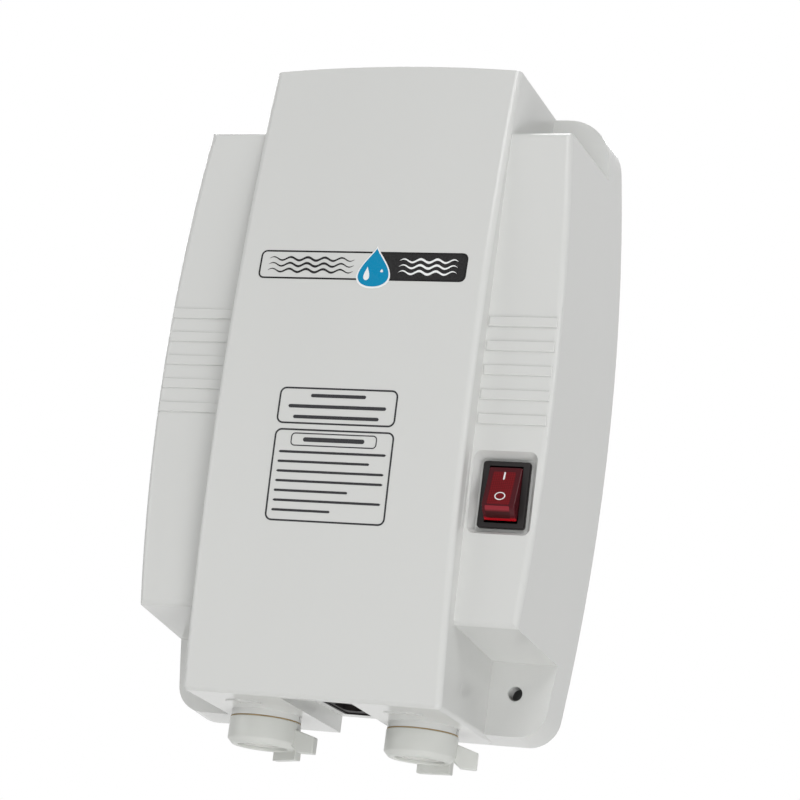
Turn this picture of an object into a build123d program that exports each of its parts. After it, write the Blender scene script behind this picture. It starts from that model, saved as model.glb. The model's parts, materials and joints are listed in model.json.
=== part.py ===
"""Wall-mounted bottled-water pump, in millimetres.

X runs to the right, Y runs back into the wall and Z runs up. The origin is on
the wall, at the centre of the four mounting screws. A depth is a distance out
from the wall, so a piece at depth d lies at Y = -d.
"""
import math
import os

from build123d import *

os.makedirs("parts", exist_ok=True)

# Housing shell
wall = 2.5
foot_height = 3.0
plate_thickness = 2.5
plate_gap = 0.3
side_reach = 68.7
side_bulge = 7.0
side_draft = 3.7
rear_half_height = 104.0
top_corner = 16.0
bottom_corner = 10.0
ear_depth = 18.1
shoulder_top = 81.6
shoulder_bottom = -76.8
shoulder_drop = 3.0
shoulder_rise_top = 2.2
shoulder_step_mid = 7.9
shoulder_step_low = 2.4
shoulder_edge = 2.0
ear_edge = 0.8
scoop_tip = 0.08

# Centre box of the housing
box_half_rear = 43.0
box_half_front = 41.2
box_front_half_height = 102.9
box_depth_top = 58.0
box_depth_mid = 70.0
box_depth_low = 63.0
box_crown = 1.9
box_edge = 1.9
box_low_edge = 1.4

# Grip ribs on the shoulders
rib_count = 5
rib_first = 19.6
rib_pitch = 7.8
rib_width = 3.2
rib_rise = 0.45
rib_root = 3.0
rib_tuck = 1.0
rib_inset = 5.0
rib_edge = 0.3

# Channel under the housing, for the power inlet
channel_left = 10.0
channel_right = 12.8
channel_rise = 4.3
channel_front = 60.8

# Wall mounting
hole_inset_x = 17.7
hole_inset_z = 14.5
hole_radius = 2.5
spot_radius = 5.5
foot_flange_radius = 8.0
foot_neck_radius = 5.0
foot_body_radius = 6.4

# Cover screws
boss_inset = 16.7
boss_z = 60.0
boss_radius = 3.6
boss_skin = 1.5
hex_sides = 6
cover_screw_radius = 1.5
cover_screw_length = 16.0
cover_screw_head = 3.0
cover_screw_head_height = 2.0

# Rocker switch
switch_inset = 16.5
switch_z = -36.1
bezel_width = 15.0
bezel_height = 20.9
bezel_thickness = 1.6
bezel_recess = 2.3
bezel_edge = 0.6
switch_body_width = 12.9
switch_body_height = 19.2
switch_body_length = 18.0
switch_cutout_gap = 0.1
switch_wall = 1.0
rocker_tilt = 20.0
rocker_width = 10.3
rocker_end_radius = 8.75
rocker_crown = 5.5
rocker_gap = 0.15
rocker_edge = 0.5
rocker_pivot_back = 2.5
rocker_belly = 3.4
rocker_pin_radius = 1.0
rocker_pin_reach = 5.9
pin_clearance = 0.05
pocket_margin = 0.8
pocket_flare = 25.0
pocket_back = 2.0
lamp_radius = 2.0
lamp_length = 4.5
tab_width = 6.3
tab_thickness = 0.8
tab_length = 8.0
tab_pitch = 7.0
tab_count = 3

# Power inlet
inlet_width = 8.8
inlet_length = 23.0
inlet_depth = 26.5
inlet_proud = 0.5
inlet_corner = 0.8
inlet_lip = 1.2
inlet_body_height = 17.0
socket_width = 6.6
socket_length = 14.0
socket_height = 11.0
inlet_pin_radius = 1.2
inlet_pin_spacing = 8.6
inlet_pin_length = 9.0
inlet_tab_length = 6.0

# Ports, their lock rings and plugs
port_x = 26.0
port_depth = 29.0
collar_radius = 11.1
collar_height = 2.5
collar_slot = 0.9
port_gap = 0.4
fitting_radius = 9.0
fitting_flange_radius = 10.6
fitting_flange = 2.0
fitting_bore = 6.2
fitting_shelf = 4.0
spigot_radius = 8.6
spigot_length = 5.6
barb_radius = 4.6
barb_bore = 3.0
barb_length = 13.0
ring_radius = 11.3
ring_height = 8.4
ring_bevel = 1.6
ring_bore = 7.95
ring_running = 0.05
lug_width = 12.0
lug_thickness = 2.4
lug_offset = 8.6
lug_drop = 2.6
wing_reach = 18.0
wing_thickness = 3.2
wing_top = 4.2
wing_drop = 1.0
wing_slope = 2.4
wing_bite = 1.6
lug_turn = 60.0
left_ring_turn = -4.0
right_ring_turn = 16.0
plug_disc_radius = 7.7
plug_disc_height = 1.8
plug_dish_radius = 5.6
plug_dish_depth = 0.6
plug_stem_radius = 5.9
plug_groove_depth = 0.9
plug_stem_length = 9.0
oring_wire = 0.6

# Pump stack on the motor axis
drive_gap = 0.0
drive_radius = 24.0
drive_cavity_radius = 20.0
drive_base = 6.0
drive_height = 24.0
drive_roof = 4.0
bolt_circle = 22.0
bolt_count = 6
bolt_radius = 1.3
bolt_head_radius = 2.4
bolt_head_height = 2.0
bolt_reach = 8.0
shaft_hole_gap = 0.6
diaphragm_thickness = 1.5
valve_plate_thickness = 5.5
head_height = 19.0
head_floor = 3.0
head_wall = 4.0
head_partition = 2.0
chamber_x = 10.0
chamber_radius = 6.0
chamber_height = 1.5
valve_radius = 3.5
valve_disc = 0.8
valve_stem_radius = 1.0
valve_stem_length = 3.0
valve_row = 6.5
valve_hole_radius = 0.7
valve_hole_row = 2.2
valve_hole_count = 6
head_barb_x = 15.0
head_barb_row = 6.0
head_barb_length = 14.0
pressure_hole = 2.0

# Pressure switch under the pump head
pressure_radius = 7.0
pressure_height = 12.0
pressure_row = 7.0
pressure_bore = 5.0
pressure_floor = 2.0
pressure_roof = 1.0
plunger_disc_height = 2.0
plunger_disc_gap = 0.05
plunger_stem_radius = 1.5
plunger_travel = 1.5
spring_radius = 3.0
spring_wire = 0.35
spring_turns = 5
micro_length = 20.0
micro_width = 6.4
micro_height = 10.2
micro_gap = 2.0
micro_bracket = 1.0
micro_bracket_depth = 8.0
micro_bracket_height = 9.0

# Motor
can_radius = 21.0
can_wall = 1.5
can_height = 52.0
magnet_thickness = 4.0
magnet_start = 8.0
magnet_length = 38.0
magnet_gap = 14.0
rotor_radius = 14.8
rotor_start = 12.0
rotor_length = 30.0
rotor_slots = 8
slot_radius = 2.2
slot_row = 10.5
slot_mouth = 1.2
winding_radius = 12.5
winding_length = 4.0
commutator_radius = 5.5
commutator_length = 7.0
commutator_start = 47.0
commutator_cut = 0.4
shaft_radius = 2.5
shaft_running = 0.05
shaft_below = 19.0
shaft_above = 4.0
shaft_bevel = 0.5
endcap_radius = 19.0
endcap_height = 8.0
endcap_seat = 1.5
endcap_cavity = 3.0
bearing_radius = 6.5
bearing_height = 4.0
brush_width = 4.0
brush_height = 5.0
brush_length = 8.0
brush_gap = 0.05
brush_guide_wall = 1.5
brush_guide_length = 10.5
brush_spring_length = 2.4
brush_spring_radius = 1.6

# Wobble drive
wobble_tilt = 3.0
hub_radius = 6.0
hub_height = 7.0
hub_centre = 17.0
cam_bearing_radius = 9.0
wobble_radius = 16.5
wobble_thickness = 3.0
piston_radius = 3.5
piston_x = 12.8
piston_clear = 1.3

# Bracket, cradle and rubber mounts
bracket_thickness = 1.5
bracket_half_width = 29.0
bracket_low = -4.0
bracket_high = 72.0
mount_x = 24.0
mount_low = 1.0
mount_high = 66.0
post_radius = 4.0
post_height = 3.0
grommet_radius = 5.5
grommet_flange = 2.0
grommet_neck = 3.4
grommet_bore = 1.9
mount_head_radius = 4.0
mount_head_height = 2.5
pad_half_width = 13.0
pad_depth = 8.0
pad_margin = 2.0
pump_screw_z = 18.0
pump_screw_x = 8.0
pump_screw_radius = 1.7
pump_screw_length = 6.0
pump_screw_head = 1.4
strap_width = 8.0
strap_thickness = 0.8
strap_height = 50.0
strap_foot = 6.0
saddle_half_width = 8.0

# Circuit board in the left shoulder
board_inset_left = 9.2
board_width = 26.0
board_low = -42.0
board_high = 46.0
board_thickness = 1.6
standoff_height = 4.4
standoff_radius = 3.0
board_inset = 3.6
board_screw_radius = 1.25
board_screw_head = 2.4
board_screw_head_height = 1.6
coil_core_width = 22.0
coil_core_height = 26.0
coil_core_depth = 16.0
coil_core_leg = 4.5
coil_gap = 0.2
coil_z = 26.0
coil_winding_bulge = 3.0
capacitor_radius = 6.5
capacitor_height = 22.0
capacitor_edge = 0.65
capacitor_z = -3.0
rectifier_width = 15.0
rectifier_height = 11.0
rectifier_thickness = 3.5
rectifier_z = 10.0
relay_width = 15.0
relay_height = 12.0
relay_depth = 14.0
relay_z = -20.6
fuse_radius = 2.6
fuse_length = 20.0
fuse_z = -31.4
fuse_lift = 5.0
clip_width = 3.0
clip_wall = 1.0

# Hoses
hose_radius = 6.4
hose_bend_share = 0.45
hose_straight = 23.0
hose_seat = 1.0
clamp_width = 7.0
clamp_thickness = 0.9
clamp_setback = 3.0
clamp_ear = 2.6
clamp_ear_width = 3.0

# Leads inside the housing
lead_radius = 0.9
lead_bend = 3.0
lead_low = -66.0
lead_mid = -50.0
lead_right = 40.0
lead_offset = 2.5
lead_spacing = 5.0

# Worked out from the sizes above
shoulder_depth_top = box_depth_top + shoulder_rise_top
shoulder_depth_mid = box_depth_mid - shoulder_step_mid
shoulder_depth_low = box_depth_low - shoulder_step_low
back_depth = foot_height
plate_front = back_depth + plate_thickness
hole_x = side_reach - hole_inset_x
hole_z = rear_half_height - hole_inset_z
boss_x = side_reach - boss_inset
switch_x = side_reach - switch_inset
bezel_depth = shoulder_depth_mid - bezel_recess
board_left = board_inset_left - side_reach
board_right = board_left + board_width
hole_points = [(x, z) for x in (-hole_x, hole_x) for z in (-hole_z, hole_z)]
boss_points = [(x, z) for x in (-boss_x, boss_x) for z in (-boss_z, boss_z)]
ear_inner = ear_depth - wall
pocket_floor = bezel_depth - bezel_thickness
switch_back = pocket_floor - switch_body_length
rocker_pivot_depth = bezel_depth - rocker_pivot_back
channel_roof = -box_front_half_height + channel_rise
channel_width = channel_left + channel_right
channel_centre = (channel_right - channel_left) / 2
socket_face = channel_roof - inlet_proud
post_front = plate_front + post_height
bracket_back = post_front + grommet_flange
bracket_front = bracket_back + bracket_thickness
axis_depth = bracket_front + drive_radius + drive_gap
drive_top = drive_base + drive_height
diaphragm_base = drive_base - diaphragm_thickness
valve_base = diaphragm_base - valve_plate_thickness
head_base = valve_base - head_height
can_base = drive_top
can_top = can_base + can_height
mount_points = [(x, z) for x in (-mount_x, mount_x) for z in (mount_low, mount_high)]
valve_points = [(side * chamber_x, row * valve_row) for side in (-1, 1) for row in (-1, 1)]
pressure_depth = axis_depth - pressure_row
pressure_base = head_base - pressure_height
plunger_top = head_base - pressure_roof - plunger_disc_gap
spring_base = pressure_base + pressure_floor
micro_top = pressure_base - micro_gap
port_sides = (("left", -1), ("right", 1))
ring_turns = {"left": left_ring_turn, "right": right_ring_turn}
brush_level = can_base + commutator_start + commutator_length / 2
wobble_plane = Plane(
    origin=(0, -axis_depth, hub_centre),
    x_dir=(math.cos(math.radians(wobble_tilt)), 0, -math.sin(math.radians(wobble_tilt))),
    z_dir=(math.sin(math.radians(wobble_tilt)), 0, math.cos(math.radians(wobble_tilt))),
)
board_points = [
    (x, z)
    for x in (board_left + board_inset, board_right - board_inset)
    for z in (board_low + board_inset, board_high - board_inset)
]
board_back = plate_front + standoff_height
board_front = board_back + board_thickness
board_x = (board_left + board_right) / 2
lead_depth = board_front + lead_radius
lead_board_x = board_x + lead_offset
collar_bottom = -box_front_half_height - collar_height
fitting_inner = -box_front_half_height + wall
plug_groove_base = collar_bottom - spigot_length - port_gap + plug_stem_length - 3 * oring_wire
port_barb_top = fitting_inner + fitting_flange + fitting_shelf + barb_length
head_ports = ((-head_barb_x, -axis_depth - head_barb_row), (head_barb_x, -axis_depth + head_barb_row))
hose_tops = [(x, y, head_base - hose_seat) for x, y in head_ports]
hose_ends = [(side * port_x, -port_depth, port_barb_top - barb_length + hose_seat) for _, side in port_sides]
clamp_spots = [(x, y, z - clamp_setback - clamp_width) for x, y, z in hose_tops]
clamp_spots += [(x, y, z + clamp_setback) for x, y, z in hose_ends]


def facing(depth):
    """Plane at a depth out from the wall, facing the viewer."""
    return Plane.XZ.offset(depth)


def level(height):
    """Horizontal plane at a height."""
    return Plane.XY.offset(height)


def outline_face(inset, depth):
    """Barrel-sided outline of the housing as a face at a depth."""
    end_x = side_reach - side_bulge - inset
    mid_x = side_reach - inset
    end_z = rear_half_height - inset
    with BuildSketch(facing(depth)) as outline:
        with BuildLine():
            ThreePointArc((end_x, -end_z), (mid_x, 0), (end_x, end_z))
            Line((end_x, end_z), (-end_x, end_z))
            ThreePointArc((-end_x, end_z), (-mid_x, 0), (-end_x, -end_z))
            Line((-end_x, -end_z), (end_x, -end_z))
        make_face()
        fillet(outline.vertices().group_by(Axis.Y)[-1], top_corner - inset)
        fillet(outline.vertices().group_by(Axis.Y)[0], bottom_corner - inset)
    return outline.sketch


def shell_form(inset):
    """Flange with its ears and the two shoulders, as one block, shrunk by the inset."""
    with BuildPart() as form:
        reach = shoulder_depth_mid - back_depth + wall
        extrude(outline_face(inset, back_depth), amount=reach, taper=side_draft)
        with BuildSketch(Plane.YZ):
            with BuildLine():
                ThreePointArc(
                    (-shoulder_depth_top + inset, shoulder_top - inset),
                    (-shoulder_depth_mid + inset, (shoulder_top + shoulder_bottom) / 2),
                    (-shoulder_depth_low + inset, shoulder_bottom + inset),
                )
                Polyline(
                    (-shoulder_depth_low + inset, shoulder_bottom + inset),
                    (-ear_depth + inset, shoulder_bottom - shoulder_drop + inset),
                    (-ear_depth + inset, -rear_half_height - wall),
                    (-back_depth, -rear_half_height - wall),
                    (-back_depth, rear_half_height + wall),
                    (-ear_depth + inset, rear_half_height + wall),
                    (-ear_depth + inset, shoulder_top - inset),
                    (-shoulder_depth_top + inset, shoulder_top - inset),
                )
            make_face()
        extrude(amount=side_reach + wall, both=True, mode=Mode.INTERSECT)
    return form.part


def box_form(inset):
    """Centre box with its bowed front and crowned top, shrunk by the inset."""
    sections = (
        (back_depth, box_half_rear - inset, rear_half_height - inset),
        (box_depth_mid + wall, box_half_front - inset, box_front_half_height - inset),
    )
    with BuildPart() as form:
        for depth, half_width, half_height in sections:
            with BuildSketch(facing(depth)):
                with BuildLine():
                    ThreePointArc(
                        (-half_width, half_height),
                        (0, half_height + box_crown),
                        (half_width, half_height),
                    )
                    Polyline(
                        (half_width, half_height),
                        (half_width, -half_height),
                        (-half_width, -half_height),
                        (-half_width, half_height),
                    )
                make_face()
        loft(ruled=True)
        tall = rear_half_height + box_crown
        with BuildSketch(Plane.YZ):
            with BuildLine():
                ThreePointArc(
                    (-box_depth_top + inset, tall),
                    (-box_depth_mid + inset, 0),
                    (-box_depth_low + inset, -tall),
                )
                Polyline(
                    (-box_depth_low + inset, -tall),
                    (-back_depth, -tall),
                    (-back_depth, tall),
                    (-box_depth_top + inset, tall),
                )
            make_face()
        extrude(amount=side_reach, both=True, mode=Mode.INTERSECT)
    return form.part


def make_rounded_box():
    """Outer centre box with its soft edges."""
    with BuildPart() as form:
        add(box_form(0.0))
        front = form.edges().filter_by(lambda e: e.center().Y < -box_depth_low)
        fillet(front.filter_by(lambda e: abs(e.center().X) > port_x), box_edge)
        low = form.faces().sort_by(Axis.Z)[0].edges().filter_by(lambda e: e.center().Y < -plate_front)
        fillet(low, box_low_edge)
    return form.part


def make_rounded_shell():
    """Outer flange and shoulders with their soft edges."""
    with BuildPart() as form:
        add(shell_form(0.0))
        front = form.faces().sort_by(Axis.Y)[0].edges()
        fillet(front, shoulder_edge)
    return form.part


def make_corner_scoop():
    """Concave fillet that fills the right upper ear pocket against the centre box."""
    inner_x = box_half_rear - wall
    reach = shoulder_depth_top - shoulder_edge - ear_inner
    spread = side_reach - side_bulge - inner_x
    with BuildPart() as scoop:
        for height, size in ((shoulder_top - wall, 1.0), (rear_half_height - ear_edge, scoop_tip)):
            with BuildSketch(level(height)):
                with BuildLine():
                    EllipticalCenterArc(
                        (inner_x + spread * size, -ear_inner - reach * size),
                        spread * size,
                        reach * size,
                        start_angle=90,
                        arc_size=90,
                    )
                    Polyline(
                        (inner_x + spread * size, -ear_inner),
                        (inner_x, -ear_inner),
                        (inner_x, -ear_inner - reach * size),
                    )
                make_face()
        loft(ruled=True)
    return scoop.part


def make_ribs():
    """Grip ribs with soft edges, set into the front of each shoulder."""
    start = shoulder_depth_top - rib_root
    inner_x = box_half_rear - rib_tuck
    length = side_reach - rib_inset - inner_x
    with BuildPart() as ribs:
        with BuildSketch(facing(start)):
            for index in range(rib_count):
                for _, side in port_sides:
                    middle = side * (inner_x + length / 2)
                    with Locations((middle, rib_first - rib_width / 2 - index * rib_pitch)):
                        Rectangle(length, rib_width)
        extrude(amount=shoulder_depth_mid + rib_rise - start)
        fillet(ribs.faces().group_by(Axis.Y)[0].edges(), rib_edge)
    return ribs.part


def channel_form(margin, start):
    """Space of the underside channel, grown by a margin."""
    with BuildPart() as form:
        with BuildSketch(Plane.XY.offset(-rear_half_height - wall)):
            with Locations((channel_centre, -(start + channel_front + margin) / 2)):
                Rectangle(channel_width + 2 * margin, channel_front + margin - start)
        extrude(amount=channel_roof + margin + rear_half_height + wall)
    return form.part


def pocket_form(margin, floor_depth):
    """Flared pocket around the rocker switch, grown by a margin."""
    with BuildPart() as form:
        with BuildSketch(facing(floor_depth)):
            with Locations((switch_x, switch_z)):
                RectangleRounded(
                    bezel_width + 2 * (pocket_margin + margin),
                    bezel_height + 2 * (pocket_margin + margin),
                    pocket_margin + margin,
                )
        extrude(amount=shoulder_depth_mid + wall - floor_depth, taper=-pocket_flare)
    return form.part


def make_front_cover():
    """Moulded cover: centre box, shoulders, ears, ribs and port collars in one shell."""
    outer_shell = make_rounded_shell()
    outer_box = make_rounded_box()
    scoop = make_corner_scoop()
    ribs = make_ribs()
    hollow_shell = shell_form(wall)
    hollow_box = box_form(wall)
    channel = channel_form(0.0, back_depth)
    channel_walls = channel_form(wall, back_depth)
    pocket = pocket_form(0.0, pocket_floor)
    pocket_walls = pocket_form(pocket_back, pocket_floor - pocket_back)
    with BuildPart() as hollow:
        add(hollow_shell)
        add(hollow_box)
        add(channel_walls, mode=Mode.SUBTRACT)
        add(pocket_walls, mode=Mode.SUBTRACT)
    with BuildPart() as front_cover:
        add(outer_shell)
        add(outer_box)
        add(scoop)
        add(scoop.mirror(Plane.YZ))
        add(ribs)
        add(hollow.part, mode=Mode.SUBTRACT)
        add(channel, mode=Mode.SUBTRACT)
        add(pocket, mode=Mode.SUBTRACT)
        with BuildSketch(facing(plate_front)):
            with Locations(boss_points):
                Circle(boss_radius)
        extrude(amount=shoulder_depth_low - boss_skin - plate_front)
        with BuildSketch(facing(plate_front)):
            with Locations(boss_points):
                Circle(cover_screw_radius)
        extrude(amount=cover_screw_length, mode=Mode.SUBTRACT)
        with BuildSketch(facing(back_depth)):
            with Locations(hole_points):
                Circle(hole_radius)
        extrude(amount=shoulder_depth_low, mode=Mode.SUBTRACT)
        with BuildSketch(facing(ear_depth)):
            with Locations([point for point in hole_points if point[1] > 0]):
                Circle(spot_radius)
        extrude(amount=shoulder_depth_low - ear_depth, mode=Mode.SUBTRACT)
        with BuildSketch(facing(pocket_floor - pocket_back - wall)):
            with Locations((switch_x, switch_z)):
                Rectangle(
                    switch_body_width + 2 * switch_cutout_gap,
                    switch_body_height + 2 * switch_cutout_gap,
                )
        extrude(amount=shoulder_depth_mid, mode=Mode.SUBTRACT)
        with BuildSketch(level(collar_bottom)):
            for _, side in port_sides:
                with Locations((side * port_x, -port_depth)):
                    Circle(collar_radius)
        extrude(amount=collar_height + wall / 2)
        with BuildSketch(level(collar_bottom)):
            for _, side in port_sides:
                with Locations((side * port_x, -port_depth)):
                    Circle(fitting_radius)
        extrude(amount=collar_height + 2 * wall, mode=Mode.SUBTRACT)
        with BuildSketch(level(collar_bottom)):
            for _, side in port_sides:
                with Locations((side * port_x + collar_radius, -port_depth)):
                    Rectangle(collar_radius - fitting_radius, collar_slot)
        extrude(amount=collar_height, mode=Mode.SUBTRACT)
        with BuildSketch(level(channel_roof)):
            with Locations((0, -inlet_depth)):
                Rectangle(inlet_width, inlet_length)
        extrude(amount=2 * wall, mode=Mode.SUBTRACT)
    front_cover.part.label = "front_cover"
    export_step(front_cover.part, "parts/front_cover.step")


def make_back_plate():
    """Back plate with the posts that carry the pump, the board and the feet."""
    plate_outline = outline_face(wall + plate_gap, back_depth)
    channel_notch = channel_form(wall + plate_gap, 0.0)
    with BuildPart() as back_plate:
        extrude(plate_outline, amount=plate_thickness)
        add(channel_notch, mode=Mode.SUBTRACT)
        with BuildSketch(facing(plate_front)):
            with Locations(mount_points):
                Circle(post_radius)
        extrude(amount=post_height)
        with BuildSketch(facing(plate_front)):
            with Locations(board_points):
                Circle(standoff_radius)
        extrude(amount=standoff_height)
        with BuildSketch(facing(back_depth)):
            with Locations(hole_points):
                Circle(foot_neck_radius)
            with Locations(boss_points):
                Circle(cover_screw_radius)
        extrude(amount=plate_thickness, mode=Mode.SUBTRACT)
        with BuildSketch(facing(plate_front)):
            with Locations(mount_points):
                Circle(grommet_bore)
        extrude(amount=post_height, mode=Mode.SUBTRACT)
        with BuildSketch(facing(plate_front)):
            with Locations(board_points):
                Circle(board_screw_radius)
        extrude(amount=standoff_height, mode=Mode.SUBTRACT)
    back_plate.part.label = "back_plate"
    export_step(back_plate.part, "parts/back_plate.step")


def make_cover_screws():
    """Four screws that hold the cover to the back plate from behind."""
    with BuildPart() as cover_screws:
        with BuildSketch(facing(back_depth)):
            with Locations(boss_points):
                Circle(cover_screw_radius)
        extrude(amount=plate_thickness + cover_screw_length)
        with BuildSketch(facing(back_depth - cover_screw_head_height)):
            with Locations(boss_points):
                Circle(cover_screw_head)
        extrude(amount=cover_screw_head_height)
        with BuildSketch(facing(back_depth - cover_screw_head_height)):
            with Locations(boss_points):
                RegularPolygon(cover_screw_head / 2, hex_sides)
        extrude(amount=cover_screw_head_height / 2, mode=Mode.SUBTRACT)
    cover_screws.part.label = "cover_screws"
    export_step(cover_screws.part, "parts/cover_screws.step")


def make_rubber_feet():
    """Stepped rubber feet through the back plate, bored for the wall screws."""
    with BuildPart() as rubber_feet:
        with BuildSketch(facing(0.0)):
            with Locations(hole_points):
                Circle(foot_flange_radius)
        extrude(amount=back_depth)
        with BuildSketch(facing(back_depth)):
            with Locations(hole_points):
                Circle(foot_neck_radius)
        extrude(amount=plate_thickness)
        with BuildSketch(facing(plate_front)):
            with Locations(hole_points):
                Circle(foot_body_radius)
        extrude(amount=ear_inner - plate_front)
        with BuildSketch(facing(0.0)):
            with Locations(hole_points):
                Circle(hole_radius)
        extrude(amount=ear_inner, mode=Mode.SUBTRACT)
    rubber_feet.part.label = "rubber_feet"
    export_step(rubber_feet.part, "parts/rubber_feet.step")


def make_switch_bezel():
    """Black switch body with its front frame and hollow well."""
    with BuildPart() as switch_bezel:
        with BuildSketch(facing(pocket_floor)):
            with Locations((switch_x, switch_z)):
                RectangleRounded(bezel_width, bezel_height, switch_wall)
        extrude(amount=bezel_thickness)
        with BuildSketch(facing(switch_back)):
            with Locations((switch_x, switch_z)):
                Rectangle(switch_body_width, switch_body_height)
        extrude(amount=switch_body_length)
        rim = switch_bezel.faces().sort_by(Axis.Y)[0].outer_wire().edges()
        fillet(rim, bezel_edge)
        with BuildSketch(facing(switch_back + 2 * switch_wall)):
            with Locations((switch_x, switch_z)):
                Rectangle(rocker_width + 2 * rocker_gap, 2 * (rocker_end_radius + rocker_gap))
        extrude(amount=switch_body_length + bezel_thickness, mode=Mode.SUBTRACT)
        with BuildSketch(Plane.YZ.offset(switch_x)):
            with Locations((-rocker_pivot_depth, switch_z)):
                Circle(rocker_pin_radius + pin_clearance)
        extrude(amount=rocker_pin_reach + rocker_gap, both=True, mode=Mode.SUBTRACT)
    switch_bezel.part.label = "switch_bezel"
    export_step(switch_bezel.part, "parts/switch_bezel.step")


def make_switch_rocker():
    """Rocker on its two side pins, drawn with the upper side pressed in."""
    face_depth = rocker_pivot_depth + rocker_crown
    face_half = math.sqrt(rocker_end_radius**2 - rocker_crown**2)
    middle = math.asin(rocker_crown / rocker_end_radius) / 2
    end_depth = rocker_pivot_depth + rocker_end_radius * math.sin(middle)
    end_half = rocker_end_radius * math.cos(middle)
    with BuildPart() as switch_rocker:
        with BuildSketch(Plane.YZ.offset(switch_x)):
            with BuildLine():
                Line((-face_depth, switch_z - face_half), (-face_depth, switch_z + face_half))
                ThreePointArc(
                    (-face_depth, switch_z + face_half),
                    (-end_depth, switch_z + end_half),
                    (-rocker_pivot_depth, switch_z + rocker_end_radius),
                )
                Line(
                    (-rocker_pivot_depth, switch_z + rocker_end_radius),
                    (-rocker_pivot_depth, switch_z + rocker_belly),
                )
                ThreePointArc(
                    (-rocker_pivot_depth, switch_z + rocker_belly),
                    (-rocker_pivot_depth + rocker_belly, switch_z),
                    (-rocker_pivot_depth, switch_z - rocker_belly),
                )
                Line(
                    (-rocker_pivot_depth, switch_z - rocker_belly),
                    (-rocker_pivot_depth, switch_z - rocker_end_radius),
                )
                ThreePointArc(
                    (-rocker_pivot_depth, switch_z - rocker_end_radius),
                    (-end_depth, switch_z - end_half),
                    (-face_depth, switch_z - face_half),
                )
            make_face()
        extrude(amount=rocker_width / 2, both=True)
        front = switch_rocker.faces().sort_by(Axis.Y)[0].edges()
        fillet(front, rocker_edge)
        with BuildSketch(Plane.YZ.offset(switch_x)):
            with Locations((-rocker_pivot_depth, switch_z)):
                Circle(rocker_pin_radius)
        extrude(amount=rocker_pin_reach, both=True)
    pivot = Axis((switch_x, -rocker_pivot_depth, switch_z), (1, 0, 0))
    pressed = switch_rocker.part.rotate(pivot, -rocker_tilt)
    pressed.label = "switch_rocker"
    export_step(pressed, "parts/switch_rocker.step")


def make_switch_lamp():
    """Small lamp that stands on the floor of the switch well, behind the rocker."""
    with BuildPart() as switch_lamp:
        with BuildSketch(facing(switch_back + 2 * switch_wall)):
            with Locations((switch_x, switch_z)):
                Circle(lamp_radius)
        extrude(amount=lamp_length)
        fillet(switch_lamp.faces().sort_by(Axis.Y)[0].edges(), lamp_radius / 2)
    switch_lamp.part.label = "switch_lamp"
    export_step(switch_lamp.part, "parts/switch_lamp.step")


def make_switch_terminals():
    """Three push-on tabs behind the switch body."""
    with BuildPart() as switch_terminals:
        with BuildSketch(facing(switch_back - tab_length)):
            with Locations((switch_x, switch_z)):
                with GridLocations(0, tab_pitch, 1, tab_count):
                    Rectangle(tab_width, tab_thickness)
        extrude(amount=tab_length)
    switch_terminals.part.label = "switch_terminals"
    export_step(switch_terminals.part, "parts/switch_terminals.step")


def make_power_inlet():
    """Two-pin power socket that opens downwards in the channel."""
    with BuildPart() as power_inlet:
        with BuildSketch(level(socket_face)):
            with Locations((0, -inlet_depth)):
                RectangleRounded(inlet_width, inlet_length, inlet_corner)
        extrude(amount=inlet_body_height)
        with BuildSketch(level(channel_roof + wall)):
            with Locations((0, -inlet_depth)):
                Rectangle(inlet_width + 2 * inlet_lip, inlet_length + 2 * inlet_lip)
        extrude(amount=inlet_lip)
        with BuildSketch(level(socket_face)):
            with Locations((0, -inlet_depth)):
                SlotOverall(socket_length, socket_width, rotation=90)
        extrude(amount=socket_height, mode=Mode.SUBTRACT)
        with BuildSketch(level(socket_face)):
            with Locations((0, -inlet_depth)):
                with GridLocations(0, inlet_pin_spacing, 1, 2):
                    Circle(inlet_pin_radius)
        extrude(amount=inlet_body_height, mode=Mode.SUBTRACT)
    power_inlet.part.label = "power_inlet"
    export_step(power_inlet.part, "parts/power_inlet.step")


def make_inlet_pins():
    """Contact pins of the power socket with their solder ends."""
    body_top = socket_face + inlet_body_height
    with BuildPart() as inlet_pins:
        with BuildSketch(level(socket_face + socket_height - inlet_pin_length)):
            with Locations((0, -inlet_depth)):
                with GridLocations(0, inlet_pin_spacing, 1, 2):
                    Circle(inlet_pin_radius)
        extrude(amount=inlet_body_height - socket_height + inlet_pin_length)
        with BuildSketch(level(body_top)):
            with Locations((0, -inlet_depth)):
                with GridLocations(0, inlet_pin_spacing, 1, 2):
                    Rectangle(2 * inlet_pin_radius, tab_thickness)
        extrude(amount=inlet_tab_length)
    inlet_pins.part.label = "inlet_pins"
    export_step(inlet_pins.part, "parts/inlet_pins.step")


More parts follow.
